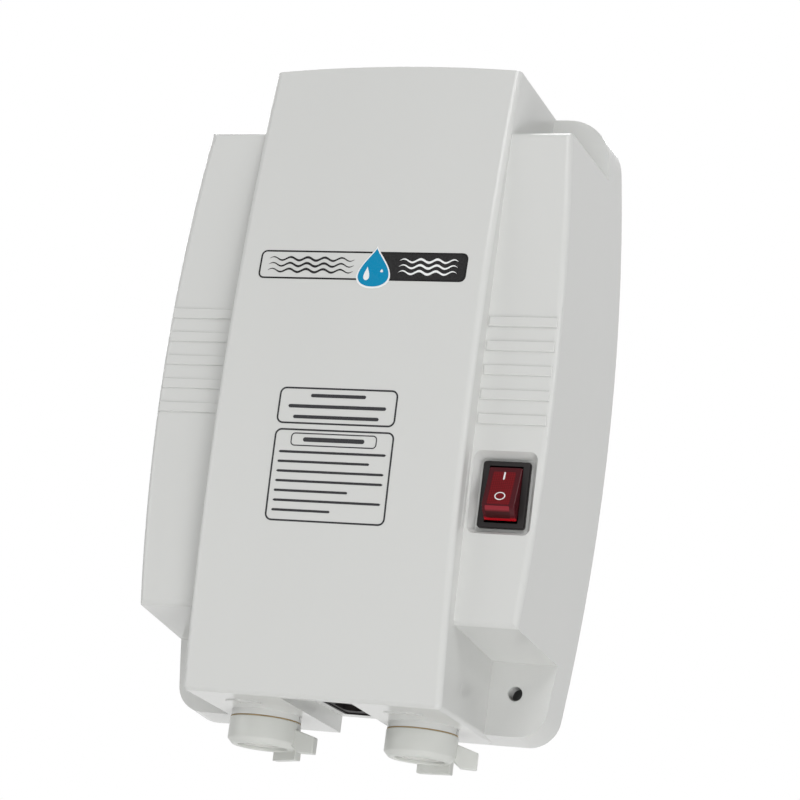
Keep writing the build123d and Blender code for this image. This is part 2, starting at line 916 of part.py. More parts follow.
def make_port_fitting(name, side):
    """Hose fitting moulded through the bottom wall, with a spigot for the lock ring."""
    spigot_bottom = collar_bottom - spigot_length
    flange_base = fitting_inner
    flange_top = flange_base + fitting_flange
    with BuildPart() as port_fitting:
        with BuildSketch(level(spigot_bottom)):
            with Locations((side * port_x, -port_depth)):
                Circle(spigot_radius)
        extrude(amount=spigot_length)
        with BuildSketch(level(collar_bottom)):
            with Locations((side * port_x, -port_depth)):
                Circle(fitting_radius)
        extrude(amount=flange_base - collar_bottom)
        with BuildSketch(level(flange_base)):
            with Locations((side * port_x, -port_depth)):
                Circle(fitting_flange_radius)
        extrude(amount=fitting_flange)
        with BuildSketch(level(flange_top)):
            with Locations((side * port_x, -port_depth)):
                Circle(fitting_radius)
        extrude(amount=fitting_shelf)
        with BuildSketch(level(flange_top + fitting_shelf)):
            with Locations((side * port_x, -port_depth)):
                Circle(barb_radius)
        extrude(amount=barb_length)
        with BuildSketch(level(spigot_bottom)):
            with Locations((side * port_x, -port_depth)):
                Circle(fitting_bore)
        extrude(amount=flange_top - spigot_bottom, mode=Mode.SUBTRACT)
        with BuildSketch(level(flange_top)):
            with Locations((side * port_x, -port_depth)):
                Circle(barb_bore)
        extrude(amount=fitting_shelf + barb_length, mode=Mode.SUBTRACT)
    port_fitting.part.label = f"port_fitting_{name}"
    export_step(port_fitting.part, f"parts/port_fitting_{name}.step")


def make_lock_ring(name, side, turn):
    """Lock ring that turns on the spigot, with its lower lug and its side wing."""
    ring_top = collar_bottom - port_gap
    ring_bottom = ring_top - ring_height
    lip_top = collar_bottom - spigot_length - port_gap
    centre = Plane(origin=(side * port_x, -port_depth, 0), z_dir=(0, 0, 1))
    with BuildPart() as lock_ring:
        with BuildSketch(level(ring_bottom)):
            Circle(ring_radius)
        extrude(amount=ring_height)
        chamfer(lock_ring.faces().sort_by(Axis.Z)[0].edges(), ring_bevel)
        with BuildSketch(level(ring_bottom - lug_drop)):
            with PolarLocations(lug_offset + lug_thickness / 2, 1, start_angle=lug_turn):
                Rectangle(lug_thickness, lug_width)
        extrude(amount=lug_drop + ring_bevel)
        with BuildSketch(Plane.XZ):
            with BuildLine():
                Polyline(
                    (ring_radius - wing_bite, ring_top - wing_top + wing_slope),
                    (wing_reach, ring_top - wing_top),
                    (wing_reach, ring_bottom - wing_drop),
                    (ring_radius + wing_bite, ring_bottom - wing_drop),
                    (ring_radius - wing_bite, ring_bottom + ring_bevel),
                    (ring_radius - wing_bite, ring_top - wing_top + wing_slope),
                )
            make_face()
        extrude(amount=wing_thickness / 2, both=True)
        with BuildSketch(level(ring_bottom - lug_drop)):
            Circle(ring_bore)
        extrude(amount=ring_height + lug_drop, mode=Mode.SUBTRACT)
        with BuildSketch(level(lip_top)):
            Circle(spigot_radius + ring_running)
        extrude(amount=ring_height, mode=Mode.SUBTRACT)
    turned = lock_ring.part.rotate(Axis.Z, turn).moved(Location(centre))
    turned.label = f"lock_ring_{name}"
    export_step(turned, f"parts/lock_ring_{name}.step")


def make_port_plug(name, side):
    """Sealing plug that slides down out of the port, with its ring groove."""
    disc_top = collar_bottom - spigot_length - port_gap
    with BuildPart() as port_plug:
        with BuildSketch(level(disc_top - plug_disc_height)):
            with Locations((side * port_x, -port_depth)):
                Circle(plug_disc_radius)
        extrude(amount=plug_disc_height)
        with BuildSketch(level(disc_top)):
            with Locations((side * port_x, -port_depth)):
                Circle(plug_stem_radius)
        extrude(amount=plug_stem_length)
        with BuildSketch(level(disc_top - plug_disc_height)):
            with Locations((side * port_x, -port_depth)):
                Circle(plug_dish_radius)
        extrude(amount=plug_dish_depth, mode=Mode.SUBTRACT)
        with BuildSketch(level(plug_groove_base)):
            with Locations((side * port_x, -port_depth)):
                Circle(plug_stem_radius + oring_wire)
                Circle(plug_stem_radius - plug_groove_depth, mode=Mode.SUBTRACT)
        extrude(amount=2 * oring_wire, mode=Mode.SUBTRACT)
    port_plug.part.label = f"port_plug_{name}"
    export_step(port_plug.part, f"parts/port_plug_{name}.step")


def make_plug_seal(name, side):
    """Rubber sealing ring in the plug's groove."""
    middle = plug_stem_radius - plug_groove_depth + oring_wire
    with BuildPart() as plug_seal:
        with BuildSketch(Plane.XZ.offset(port_depth)):
            with Locations((side * port_x + middle, plug_groove_base + oring_wire)):
                Circle(oring_wire)
        revolve(axis=Axis((side * port_x, -port_depth, 0), (0, 0, 1)))
    plug_seal.part.label = f"plug_seal_{name}"
    export_step(plug_seal.part, f"parts/plug_seal_{name}.step")


def make_hose(name, start, end):
    """Hose from a pump barb down to a port barb, as straight runs and tangent arcs."""
    points = [
        start,
        (start[0], start[1], start[2] - hose_straight),
        (end[0], end[1], end[2] + hose_straight),
        end,
    ]
    middle = Vector(*points[2]) - Vector(*points[1])
    turn = math.radians(middle.get_angle(Vector(0, 0, -1)))
    shorter = min(hose_straight, middle.length)
    bend = hose_bend_share * shorter / math.tan(turn / 2)
    print(f"{name} bend radius {bend:.1f}")
    with BuildPart() as hose:
        with BuildLine() as route:
            FilletPolyline(*points, radius=[bend, bend])
        with BuildSketch(Plane(origin=start, z_dir=(0, 0, -1))):
            Circle(hose_radius)
            Circle(barb_radius, mode=Mode.SUBTRACT)
        sweep(path=route.wire())
    section = math.pi * (hose_radius**2 - barb_radius**2)
    length = route.wire().length
    print(f"{name} volume {hose.part.volume:.0f}, section times length {section * length:.0f}")
    hose.part.label = name
    export_step(hose.part, f"parts/{name}.step")


def make_hose_clamps():
    """Four band clamps at the ends of the two hoses."""
    with BuildPart() as hose_clamps:
        for x, y, z in clamp_spots:
            with BuildSketch(Plane.XY.offset(z)):
                with Locations((x, y)):
                    Circle(hose_radius + clamp_thickness)
                    Rectangle(clamp_ear_width, 2 * (hose_radius + clamp_ear))
                    Circle(hose_radius, mode=Mode.SUBTRACT)
            extrude(amount=clamp_width)
    hose_clamps.part.label = "hose_clamps"
    export_step(hose_clamps.part, "parts/hose_clamps.step")


def make_drive_housing():
    """Drum over the wobble drive, with the rear pad that is screwed to the bracket."""
    with BuildPart() as drive_housing:
        with BuildSketch(level(drive_base)):
            with Locations((0, -axis_depth)):
                Circle(drive_radius)
        extrude(amount=drive_height)
        with BuildSketch(level(drive_base + pad_margin)):
            with Locations((0, -bracket_front)):
                Rectangle(2 * pad_half_width, pad_depth, align=(Align.CENTER, Align.MAX))
        extrude(amount=drive_height - 2 * pad_margin)
        with BuildSketch(level(drive_base)):
            with Locations((0, -axis_depth)):
                Circle(drive_cavity_radius)
        extrude(amount=drive_height - drive_roof, mode=Mode.SUBTRACT)
        with BuildSketch(level(drive_base)):
            with Locations((0, -axis_depth)):
                Circle(shaft_radius + shaft_hole_gap)
        extrude(amount=drive_height, mode=Mode.SUBTRACT)
        with BuildSketch(level(drive_base)):
            with Locations((0, -axis_depth)):
                with PolarLocations(bolt_circle, bolt_count):
                    Circle(bolt_radius)
        extrude(amount=bolt_reach, mode=Mode.SUBTRACT)
        with BuildSketch(facing(bracket_front)):
            with Locations((0, pump_screw_z)):
                with GridLocations(2 * pump_screw_x, 0, 2, 1):
                    Circle(pump_screw_radius)
        extrude(amount=pump_screw_length - bracket_thickness, mode=Mode.SUBTRACT)
    drive_housing.part.label = "drive_housing"
    export_step(drive_housing.part, "parts/drive_housing.step")


def make_diaphragm():
    """Rubber disc clamped between the drive drum and the valve plate."""
    with BuildPart() as diaphragm:
        with BuildSketch(level(diaphragm_base)):
            with Locations((0, -axis_depth)):
                Circle(drive_radius)
                with PolarLocations(bolt_circle, bolt_count):
                    Circle(bolt_radius, mode=Mode.SUBTRACT)
        extrude(amount=diaphragm_thickness)
    diaphragm.part.label = "diaphragm"
    export_step(diaphragm.part, "parts/diaphragm.step")


def make_valve_plate():
    """Plate with two pumping chambers and the seats of the four check valves."""
    with BuildPart() as valve_plate:
        with BuildSketch(level(valve_base)):
            with Locations((0, -axis_depth)):
                Circle(drive_radius)
                with PolarLocations(bolt_circle, bolt_count):
                    Circle(bolt_radius, mode=Mode.SUBTRACT)
        extrude(amount=valve_plate_thickness)
        with BuildSketch(level(diaphragm_base - chamber_height)):
            with Locations((-chamber_x, -axis_depth), (chamber_x, -axis_depth)):
                SlotOverall(2 * (valve_row + chamber_radius), 2 * chamber_radius, rotation=90)
        extrude(amount=chamber_height, mode=Mode.SUBTRACT)
        with BuildSketch(level(valve_base)):
            with Locations((0, -axis_depth)):
                with Locations(valve_points):
                    Circle(valve_stem_radius)
                    with PolarLocations(valve_hole_row, valve_hole_count):
                        Circle(valve_hole_radius)
        extrude(amount=valve_plate_thickness, mode=Mode.SUBTRACT)
    valve_plate.part.label = "valve_plate"
    export_step(valve_plate.part, "parts/valve_plate.step")


def make_check_valves():
    """Four rubber valves: inlet ones lie in the chambers, outlet ones under the plate."""
    chamber_floor = diaphragm_base - chamber_height
    with BuildPart() as check_valves:
        for x, row in valve_points:
            opens_up = row < 0
            disc_base = chamber_floor if opens_up else valve_base - valve_disc
            stem_base = chamber_floor - valve_stem_length if opens_up else valve_base
            with BuildSketch(level(disc_base)):
                with Locations((x, row - axis_depth)):
                    Circle(valve_radius)
            extrude(amount=valve_disc)
            with BuildSketch(level(stem_base)):
                with Locations((x, row - axis_depth)):
                    Circle(valve_stem_radius)
            extrude(amount=valve_stem_length)
    check_valves.part.label = "check_valves"
    export_step(check_valves.part, "parts/check_valves.step")


def make_pump_head():
    """Head with an inlet and an outlet chamber, and a barb under each."""
    with BuildPart() as pump_head:
        with BuildSketch(level(head_base)):
            with Locations((0, -axis_depth)):
                Circle(drive_radius)
        extrude(amount=head_height)
        with BuildSketch(level(head_base + head_floor)):
            with Locations((0, -axis_depth)):
                Circle(drive_radius - head_wall)
                Rectangle(2 * drive_radius, head_partition, mode=Mode.SUBTRACT)
        extrude(amount=head_height - head_floor, mode=Mode.SUBTRACT)
        with BuildSketch(level(head_base - head_barb_length)):
            with Locations(head_ports):
                Circle(barb_radius)
        extrude(amount=head_barb_length)
        with BuildSketch(level(head_base - head_barb_length)):
            with Locations(head_ports):
                Circle(barb_bore)
        extrude(amount=head_barb_length + head_floor, mode=Mode.SUBTRACT)
        with BuildSketch(level(head_base)):
            with Locations((0, -pressure_depth)):
                Circle(pressure_hole)
        extrude(amount=head_floor, mode=Mode.SUBTRACT)
        with BuildSketch(level(head_base)):
            with Locations((0, -axis_depth)):
                with PolarLocations(bolt_circle, bolt_count):
                    Circle(bolt_radius)
        extrude(amount=head_height, mode=Mode.SUBTRACT)
    pump_head.part.label = "pump_head"
    export_step(pump_head.part, "parts/pump_head.step")


def make_head_screws():
    """Six screws from below through head, plate and diaphragm into the drum."""
    with BuildPart() as head_screws:
        with BuildSketch(level(head_base - bolt_head_height)):
            with Locations((0, -axis_depth)):
                with PolarLocations(bolt_circle, bolt_count):
                    Circle(bolt_head_radius)
        extrude(amount=bolt_head_height)
        with BuildSketch(level(head_base)):
            with Locations((0, -axis_depth)):
                with PolarLocations(bolt_circle, bolt_count):
                    Circle(bolt_radius)
        extrude(amount=drive_base + bolt_reach - head_base)
        with BuildSketch(level(head_base - bolt_head_height)):
            with Locations((0, -axis_depth)):
                with PolarLocations(bolt_circle, bolt_count):
                    RegularPolygon(bolt_head_radius / 2, hex_sides)
        extrude(amount=bolt_head_height / 2, mode=Mode.SUBTRACT)
    head_screws.part.label = "head_screws"
    export_step(head_screws.part, "parts/head_screws.step")


def make_pressure_switch_body():
    """Small chamber under the head, with the two plates that hold the microswitch."""
    with BuildPart() as pressure_body:
        with BuildSketch(level(pressure_base)):
            with Locations((0, -pressure_depth)):
                Circle(pressure_radius)
        extrude(amount=pressure_height)
        with BuildSketch(level(pressure_base - micro_bracket_height)):
            with Locations((0, -pressure_depth)):
                with GridLocations(micro_width + micro_bracket, 0, 2, 1):
                    Rectangle(micro_bracket, micro_bracket_depth)
        extrude(amount=micro_bracket_height)
        with BuildSketch(level(spring_base)):
            with Locations((0, -pressure_depth)):
                Circle(pressure_bore)
        extrude(amount=pressure_height - pressure_floor - pressure_roof, mode=Mode.SUBTRACT)
        with BuildSketch(level(pressure_base)):
            with Locations((0, -pressure_depth)):
                Circle(plunger_stem_radius + pin_clearance)
        extrude(amount=pressure_floor, mode=Mode.SUBTRACT)
        with BuildSketch(level(head_base - pressure_roof)):
            with Locations((0, -pressure_depth)):
                Circle(pressure_hole)
        extrude(amount=pressure_roof, mode=Mode.SUBTRACT)
    pressure_body.part.label = "pressure_switch_body"
    export_step(pressure_body.part, "parts/pressure_switch_body.step")


def make_pressure_plunger():
    """Plunger that the water pressure pushes down on to the microswitch."""
    stem_end = micro_top + plunger_travel + pin_clearance
    with BuildPart() as pressure_plunger:
        with BuildSketch(level(plunger_top - plunger_disc_height)):
            with Locations((0, -pressure_depth)):
                Circle(pressure_bore - plunger_disc_gap)
        extrude(amount=plunger_disc_height)
        with BuildSketch(level(stem_end)):
            with Locations((0, -pressure_depth)):
                Circle(plunger_stem_radius)
        extrude(amount=plunger_top - plunger_disc_height - stem_end)
    pressure_plunger.part.label = "pressure_plunger"
    export_step(pressure_plunger.part, "parts/pressure_plunger.step")


def make_pressure_spring():
    """Coil spring round the plunger's stem."""
    free_height = plunger_top - plunger_disc_height - spring_base
    rise = free_height - 2 * spring_wire
    start = Vector(spring_radius, -pressure_depth, spring_base + spring_wire)
    with BuildPart() as pressure_spring:
        with BuildLine():
            Helix(rise / spring_turns, rise, spring_radius, center=start - Vector(spring_radius, 0, 0))
        with BuildSketch(Plane(origin=start, z_dir=(0, 1, 0))):
            Circle(spring_wire)
        sweep()
    pressure_spring.part.label = "pressure_spring"
    export_step(pressure_spring.part, "parts/pressure_spring.step")


def make_microswitch():
    """Microswitch that the plunger presses."""
    with BuildPart() as microswitch:
        with BuildSketch(level(micro_top - micro_height)):
            with Locations((0, -pressure_depth)):
                Rectangle(micro_width, micro_length)
        extrude(amount=micro_height)
        with BuildSketch(level(micro_top - micro_height - inlet_tab_length)):
            with Locations((0, -pressure_depth)):
                with GridLocations(0, micro_length / tab_count, 1, tab_count):
                    Rectangle(micro_width / 2, tab_thickness)
        extrude(amount=inlet_tab_length)
    microswitch.part.label = "microswitch"
    export_step(microswitch.part, "parts/microswitch.step")


def make_motor_can():
    """Motor can, closed at the drive end, with the lower bearing seat."""
    with BuildPart() as motor_can:
        with BuildSketch(level(can_base)):
            with Locations((0, -axis_depth)):
                Circle(can_radius)
        extrude(amount=can_height)
        with BuildSketch(level(can_base + can_wall)):
            with Locations((0, -axis_depth)):
                Circle(can_radius - can_wall)
        extrude(amount=can_height - can_wall, mode=Mode.SUBTRACT)
        with BuildSketch(level(can_base + can_wall)):
            with Locations((0, -axis_depth)):
                Circle(bearing_radius + can_wall)
        extrude(amount=bearing_height)
        with BuildSketch(level(can_base + can_wall)):
            with Locations((0, -axis_depth)):
                Circle(bearing_radius)
        extrude(amount=bearing_height, mode=Mode.SUBTRACT)
        with BuildSketch(level(can_base)):
            with Locations((0, -axis_depth)):
                Circle(shaft_radius + shaft_hole_gap)
        extrude(amount=can_wall, mode=Mode.SUBTRACT)
    motor_can.part.label = "motor_can"
    export_step(motor_can.part, "parts/motor_can.step")


def make_motor_magnets():
    """Two curved magnets inside the can."""
    reach = can_radius - can_wall
    with BuildPart() as motor_magnets:
        with BuildSketch(level(can_base + magnet_start)):
            with Locations((0, -axis_depth)):
                Circle(reach)
                Circle(reach - magnet_thickness, mode=Mode.SUBTRACT)
                Rectangle(2 * reach, magnet_gap, mode=Mode.SUBTRACT)
        extrude(amount=magnet_length)
    motor_magnets.part.label = "motor_magnets"
    export_step(motor_magnets.part, "parts/motor_magnets.step")


def make_motor_end_cap():
    """End cap with the upper bearing seat and the two brush guides."""
    roof = can_top + endcap_cavity
    guide_width = brush_width + 2 * brush_guide_wall
    guide_base = can_base + commutator_start
    brush_inner = commutator_radius + brush_gap + brush_guide_wall
    with BuildPart() as motor_end_cap:
        with BuildSketch(level(can_top - endcap_seat)):
            with Locations((0, -axis_depth)):
                Circle(can_radius - can_wall)
                Circle(endcap_radius - endcap_cavity, mode=Mode.SUBTRACT)
        extrude(amount=endcap_seat)
        with BuildSketch(level(can_top)):
            with Locations((0, -axis_depth)):
                Circle(endcap_radius)
                Circle(endcap_radius - endcap_cavity, mode=Mode.SUBTRACT)
        extrude(amount=endcap_cavity)
        with BuildSketch(level(roof)):
            with Locations((0, -axis_depth)):
                Circle(endcap_radius)
        extrude(amount=endcap_height - endcap_cavity)
        with BuildSketch(level(guide_base)):
            with Locations((0, -axis_depth)):
                for turn in (0, 180):
                    with Locations(Rotation(0, 0, turn)):
                        with Locations((brush_inner, 0)):
                            Rectangle(brush_guide_length, guide_width, align=(Align.MIN, Align.CENTER))
        extrude(amount=roof - guide_base)
        with BuildSketch(level(brush_level - brush_height / 2)):
            with Locations((0, -axis_depth)):
                for turn in (0, 180):
                    with Locations(Rotation(0, 0, turn)):
                        with Locations((commutator_radius + brush_gap, 0)):
                            Rectangle(
                                brush_length + brush_spring_length,
                                brush_width,
                                align=(Align.MIN, Align.CENTER),
                            )
        extrude(amount=brush_height, mode=Mode.SUBTRACT)
        with BuildSketch(level(roof)):
            with Locations((0, -axis_depth)):
                Circle(bearing_radius)
        extrude(amount=bearing_height, mode=Mode.SUBTRACT)
        with BuildSketch(level(roof)):
            with Locations((0, -axis_depth)):
                Circle(shaft_radius + shaft_hole_gap)
        extrude(amount=endcap_height, mode=Mode.SUBTRACT)
    motor_end_cap.part.label = "motor_end_cap"
    export_step(motor_end_cap.part, "parts/motor_end_cap.step")


def make_motor_brushes():
    """Two carbon brushes at the commutator."""
    reach = commutator_radius + brush_gap + brush_length / 2
    with BuildPart() as motor_brushes:
        with BuildSketch(level(brush_level - brush_height / 2)):
            with Locations((0, -axis_depth)):
                with GridLocations(2 * reach, 0, 2, 1):
                    Rectangle(brush_length, brush_width)
        extrude(amount=brush_height)
        with BuildSketch(level(brush_level - brush_height / 2)):
            with Locations((0, -axis_depth)):
                Circle(commutator_radius + brush_gap)
        extrude(amount=brush_height, mode=Mode.SUBTRACT)
    motor_brushes.part.label = "motor_brushes"
    export_step(motor_brushes.part, "parts/motor_brushes.step")


def make_brush_springs():
    """Short springs that press the brushes inwards, as plain sleeves."""
    reach = commutator_radius + brush_gap + brush_length
    with BuildPart() as brush_springs:
        for side in (-1, 1):
            with BuildSketch(Plane.YZ.offset(side * reach)):
                with Locations((-axis_depth, brush_level)):
                    Circle(brush_spring_radius)
                    Circle(brush_spring_radius / 2, mode=Mode.SUBTRACT)
            extrude(amount=side * brush_spring_length)
    brush_springs.part.label = "brush_springs"
    export_step(brush_springs.part, "parts/brush_springs.step")


def make_shaft_bearings():
    """Two plain bearings, one in the can and one in the end cap."""
    with BuildPart() as shaft_bearings:
        for base in (can_base + can_wall, can_top + endcap_cavity):
            with BuildSketch(level(base)):
                with Locations((0, -axis_depth)):
                    Circle(bearing_radius)
                    Circle(shaft_radius + shaft_running, mode=Mode.SUBTRACT)
            extrude(amount=bearing_height)
    shaft_bearings.part.label = "shaft_bearings"
    export_step(shaft_bearings.part, "parts/shaft_bearings.step")


def make_rotor_core():
    """Slotted iron core on the shaft."""
    with BuildPart() as rotor_core:
        with BuildSketch(level(can_base + rotor_start)):
            with Locations((0, -axis_depth)):
                Circle(rotor_radius)
                Circle(shaft_radius, mode=Mode.SUBTRACT)
                with PolarLocations(slot_row, rotor_slots):
                    Circle(slot_radius, mode=Mode.SUBTRACT)
                with PolarLocations(rotor_radius, rotor_slots):
                    Rectangle(2 * (rotor_radius - slot_row), slot_mouth, mode=Mode.SUBTRACT)
        extrude(amount=rotor_length)
    rotor_core.part.label = "rotor_core"
    export_step(rotor_core.part, "parts/rotor_core.step")


def make_rotor_windings():
    """Copper in the slots of the core, joined by an end winding above and below."""
    core_base = can_base + rotor_start
    with BuildPart() as rotor_windings:
        for base in (core_base - winding_length, core_base + rotor_length):
            with BuildSketch(level(base)):
                with Locations((0, -axis_depth)):
                    Circle(winding_radius)
                    Circle(shaft_radius, mode=Mode.SUBTRACT)
            extrude(amount=winding_length)
        with BuildSketch(level(core_base)):
            with Locations((0, -axis_depth)):
                with PolarLocations(slot_row, rotor_slots):
                    Circle(slot_radius)
        extrude(amount=rotor_length)
    rotor_windings.part.label = "rotor_windings"
    export_step(rotor_windings.part, "parts/rotor_windings.step")


def make_commutator():
    """Copper commutator with its segment cuts."""
    with BuildPart() as commutator:
        with BuildSketch(level(can_base + commutator_start)):
            with Locations((0, -axis_depth)):
                Circle(commutator_radius)
                Circle(shaft_radius, mode=Mode.SUBTRACT)
                with PolarLocations(commutator_radius, rotor_slots):
                    Rectangle(2 * commutator_cut, commutator_cut, mode=Mode.SUBTRACT)
        extrude(amount=commutator_length)
    commutator.part.label = "commutator"
    export_step(commutator.part, "parts/commutator.step")


def make_motor_shaft():
    """Motor shaft from the wobble drive up through both bearings."""
    with BuildPart() as motor_shaft:
        with BuildSketch(level(can_base - shaft_below)):
            with Locations((0, -axis_depth)):
                Circle(shaft_radius)
        extrude(amount=shaft_below + can_height + endcap_height + shaft_above)
        chamfer(motor_shaft.edges().filter_by(GeomType.CIRCLE), shaft_bevel)
    motor_shaft.part.label = "motor_shaft"
    export_step(motor_shaft.part, "parts/motor_shaft.step")


def make_cam_hub():
    """Tilted hub on the shaft that makes the plate wobble."""
    with BuildPart() as cam_hub:
        with BuildSketch(wobble_plane.offset(-hub_height / 2)):
            Circle(hub_radius)
        extrude(amount=hub_height)
        with BuildSketch(level(drive_base)):
            with Locations((0, -axis_depth)):
                Circle(shaft_radius)
        extrude(amount=drive_height, mode=Mode.SUBTRACT)
    cam_hub.part.label = "cam_hub"
    export_step(cam_hub.part, "parts/cam_hub.step")


def make_cam_bearing():
    """Bearing ring on the tilted hub."""
    with BuildPart() as cam_bearing:
        with BuildSketch(wobble_plane.offset(-wobble_thickness / 2)):
            Circle(cam_bearing_radius)
            Circle(hub_radius, mode=Mode.SUBTRACT)
        extrude(amount=wobble_thickness)
    cam_bearing.part.label = "cam_bearing"
    export_step(cam_bearing.part, "parts/cam_bearing.step")


def make_wobble_plate():
    """Wobble plate round the bearing, with its two pistons over the diaphragm."""
    plate_base = -wobble_thickness / 2
    piston_length = hub_centre + plate_base - drive_base - piston_clear
    with BuildPart() as wobble_plate:
        with BuildSketch(wobble_plane.offset(plate_base)):
            Circle(wobble_radius)
        extrude(amount=wobble_thickness)
        with BuildSketch(wobble_plane.offset(plate_base - piston_length)):
            with GridLocations(2 * piston_x, 0, 2, 1):
                Circle(piston_radius)
        extrude(amount=piston_length)
        with BuildSketch(wobble_plane.offset(plate_base - piston_length)):
            Circle(cam_bearing_radius + pin_clearance)
        extrude(amount=piston_length + wobble_thickness, mode=Mode.SUBTRACT)
    wobble_plate.part.label = "wobble_plate"
    export_step(wobble_plate.part, "parts/wobble_plate.step")


def make_motor_bracket():
    """Steel plate on the four grommets, with the saddle block behind the motor."""
    with BuildPart() as motor_bracket:
        with BuildSketch(facing(bracket_back)):
            with Locations((0, (bracket_low + bracket_high) / 2)):
                RectangleRounded(2 * bracket_half_width, bracket_high - bracket_low, post_radius)
            with Locations(mount_points):
                Circle(grommet_neck, mode=Mode.SUBTRACT)
            with Locations((0, pump_screw_z)):
                with GridLocations(2 * pump_screw_x, 0, 2, 1):
                    Circle(pump_screw_radius, mode=Mode.SUBTRACT)
        extrude(amount=bracket_thickness)
        with BuildSketch(level(strap_height - strap_width / 2)):
            with Locations((0, -bracket_front)):
                Rectangle(
                    2 * saddle_half_width,
                    axis_depth - bracket_front - can_radius / 2,
                    align=(Align.CENTER, Align.MAX),
                )
            with Locations((0, -axis_depth)):
                Circle(can_radius, mode=Mode.SUBTRACT)
        extrude(amount=strap_width)
    motor_bracket.part.label = "motor_bracket"
    export_step(motor_bracket.part, "parts/motor_bracket.step")


def make_bracket_grommets():
    """Rubber grommets between the bracket and the posts of the back plate."""
    with BuildPart() as bracket_grommets:
        for depth in (post_front, bracket_front):
            with BuildSketch(facing(depth)):
                with Locations(mount_points):
                    Circle(grommet_radius)
            extrude(amount=grommet_flange)
        with BuildSketch(facing(bracket_back)):
            with Locations(mount_points):
                Circle(grommet_neck)
        extrude(amount=bracket_thickness)
        with BuildSketch(facing(post_front)):
            with Locations(mount_points):
                Circle(grommet_bore)
        extrude(amount=bracket_thickness + 2 * grommet_flange, mode=Mode.SUBTRACT)
    bracket_grommets.part.label = "bracket_grommets"
    export_step(bracket_grommets.part, "parts/bracket_grommets.step")


def make_bracket_screws():
    """Four screws through the grommets into the posts."""
    head_depth = bracket_front + grommet_flange
    with BuildPart() as bracket_screws:
        with BuildSketch(facing(plate_front)):
            with Locations(mount_points):
                Circle(grommet_bore)
        extrude(amount=head_depth - plate_front)
        with BuildSketch(facing(head_depth)):
            with Locations(mount_points):
                Circle(mount_head_radius)
        extrude(amount=mount_head_height)
        with BuildSketch(facing(head_depth + mount_head_height / 2)):
            with Locations(mount_points):
                RegularPolygon(mount_head_radius / 2, hex_sides)
        extrude(amount=mount_head_height / 2, mode=Mode.SUBTRACT)
    bracket_screws.part.label = "bracket_screws"
    export_step(bracket_screws.part, "parts/bracket_screws.step")


def make_pump_screws():
    """Two screws through the bracket into the pad of the drive drum."""
    with BuildPart() as pump_screws:
        with BuildSketch(facing(bracket_back)):
            with Locations((0, pump_screw_z)):
                with GridLocations(2 * pump_screw_x, 0, 2, 1):
                    Circle(pump_screw_radius)
        extrude(amount=pump_screw_length)
        with BuildSketch(facing(bracket_back - pump_screw_head)):
            with Locations((0, pump_screw_z)):
                with GridLocations(2 * pump_screw_x, 0, 2, 1):
                    Circle(2 * pump_screw_radius)
        extrude(amount=pump_screw_head)
    pump_screws.part.label = "pump_screws"
    export_step(pump_screws.part, "parts/pump_screws.step")


def make_motor_strap():
    """Steel band round the motor, with its two feet on the bracket."""
    outer = can_radius + strap_thickness
    leg = axis_depth - bracket_front
    with BuildPart() as motor_strap:
        with BuildSketch(level(strap_height - strap_width / 2)):
            with Locations((0, -axis_depth)):
                Circle(outer)
                Rectangle(2 * outer, leg, align=(Align.CENTER, Align.MIN))
                Circle(can_radius, mode=Mode.SUBTRACT)
                Rectangle(2 * can_radius, leg, align=(Align.CENTER, Align.MIN), mode=Mode.SUBTRACT)
            with Locations((0, -bracket_front)):
                with GridLocations(2 * outer + strap_foot, 0, 2, 1):
                    Rectangle(strap_foot, strap_thickness, align=(Align.CENTER, Align.MAX))
        extrude(amount=strap_width)
    motor_strap.part.label = "motor_strap"
    export_step(motor_strap.part, "parts/motor_strap.step")


def make_circuit_board():
    """Circuit board in the left shoulder, on four standoffs."""
    with BuildPart() as circuit_board:
        with BuildSketch(facing(board_back)):
            with Locations((board_x, (board_low + board_high) / 2)):
                Rectangle(board_right - board_left, board_high - board_low)
            with Locations(board_points):
                Circle(board_screw_radius, mode=Mode.SUBTRACT)
        extrude(amount=board_thickness)
    circuit_board.part.label = "circuit_board"
    export_step(circuit_board.part, "parts/circuit_board.step")


def make_board_screws():
    """Four screws of the circuit board."""
    with BuildPart() as board_screws:
        with BuildSketch(facing(plate_front)):
            with Locations(board_points):
                Circle(board_screw_radius)
        extrude(amount=board_front - plate_front)
        with BuildSketch(facing(board_front)):
            with Locations(board_points):
                Circle(board_screw_head)
        extrude(amount=board_screw_head_height)
    board_screws.part.label = "board_screws"
    export_step(board_screws.part, "parts/board_screws.step")


def make_transformer_core():
    """Iron core of the transformer, with a window above and below its middle leg."""
    window_width = coil_core_width - 2 * coil_core_leg
    window_height = coil_core_height / 2 - 2 * coil_core_leg
    with BuildPart() as transformer_core:
        with BuildSketch(facing(board_front + coil_winding_bulge)):
            with Locations((board_x, coil_z)):
                Rectangle(coil_core_width, coil_core_height)
                with GridLocations(0, 2 * coil_core_leg + window_height, 1, 2):
                    Rectangle(window_width, window_height, mode=Mode.SUBTRACT)
        extrude(amount=coil_core_depth)
    transformer_core.part.label = "transformer_core"
    export_step(transformer_core.part, "parts/transformer_core.step")


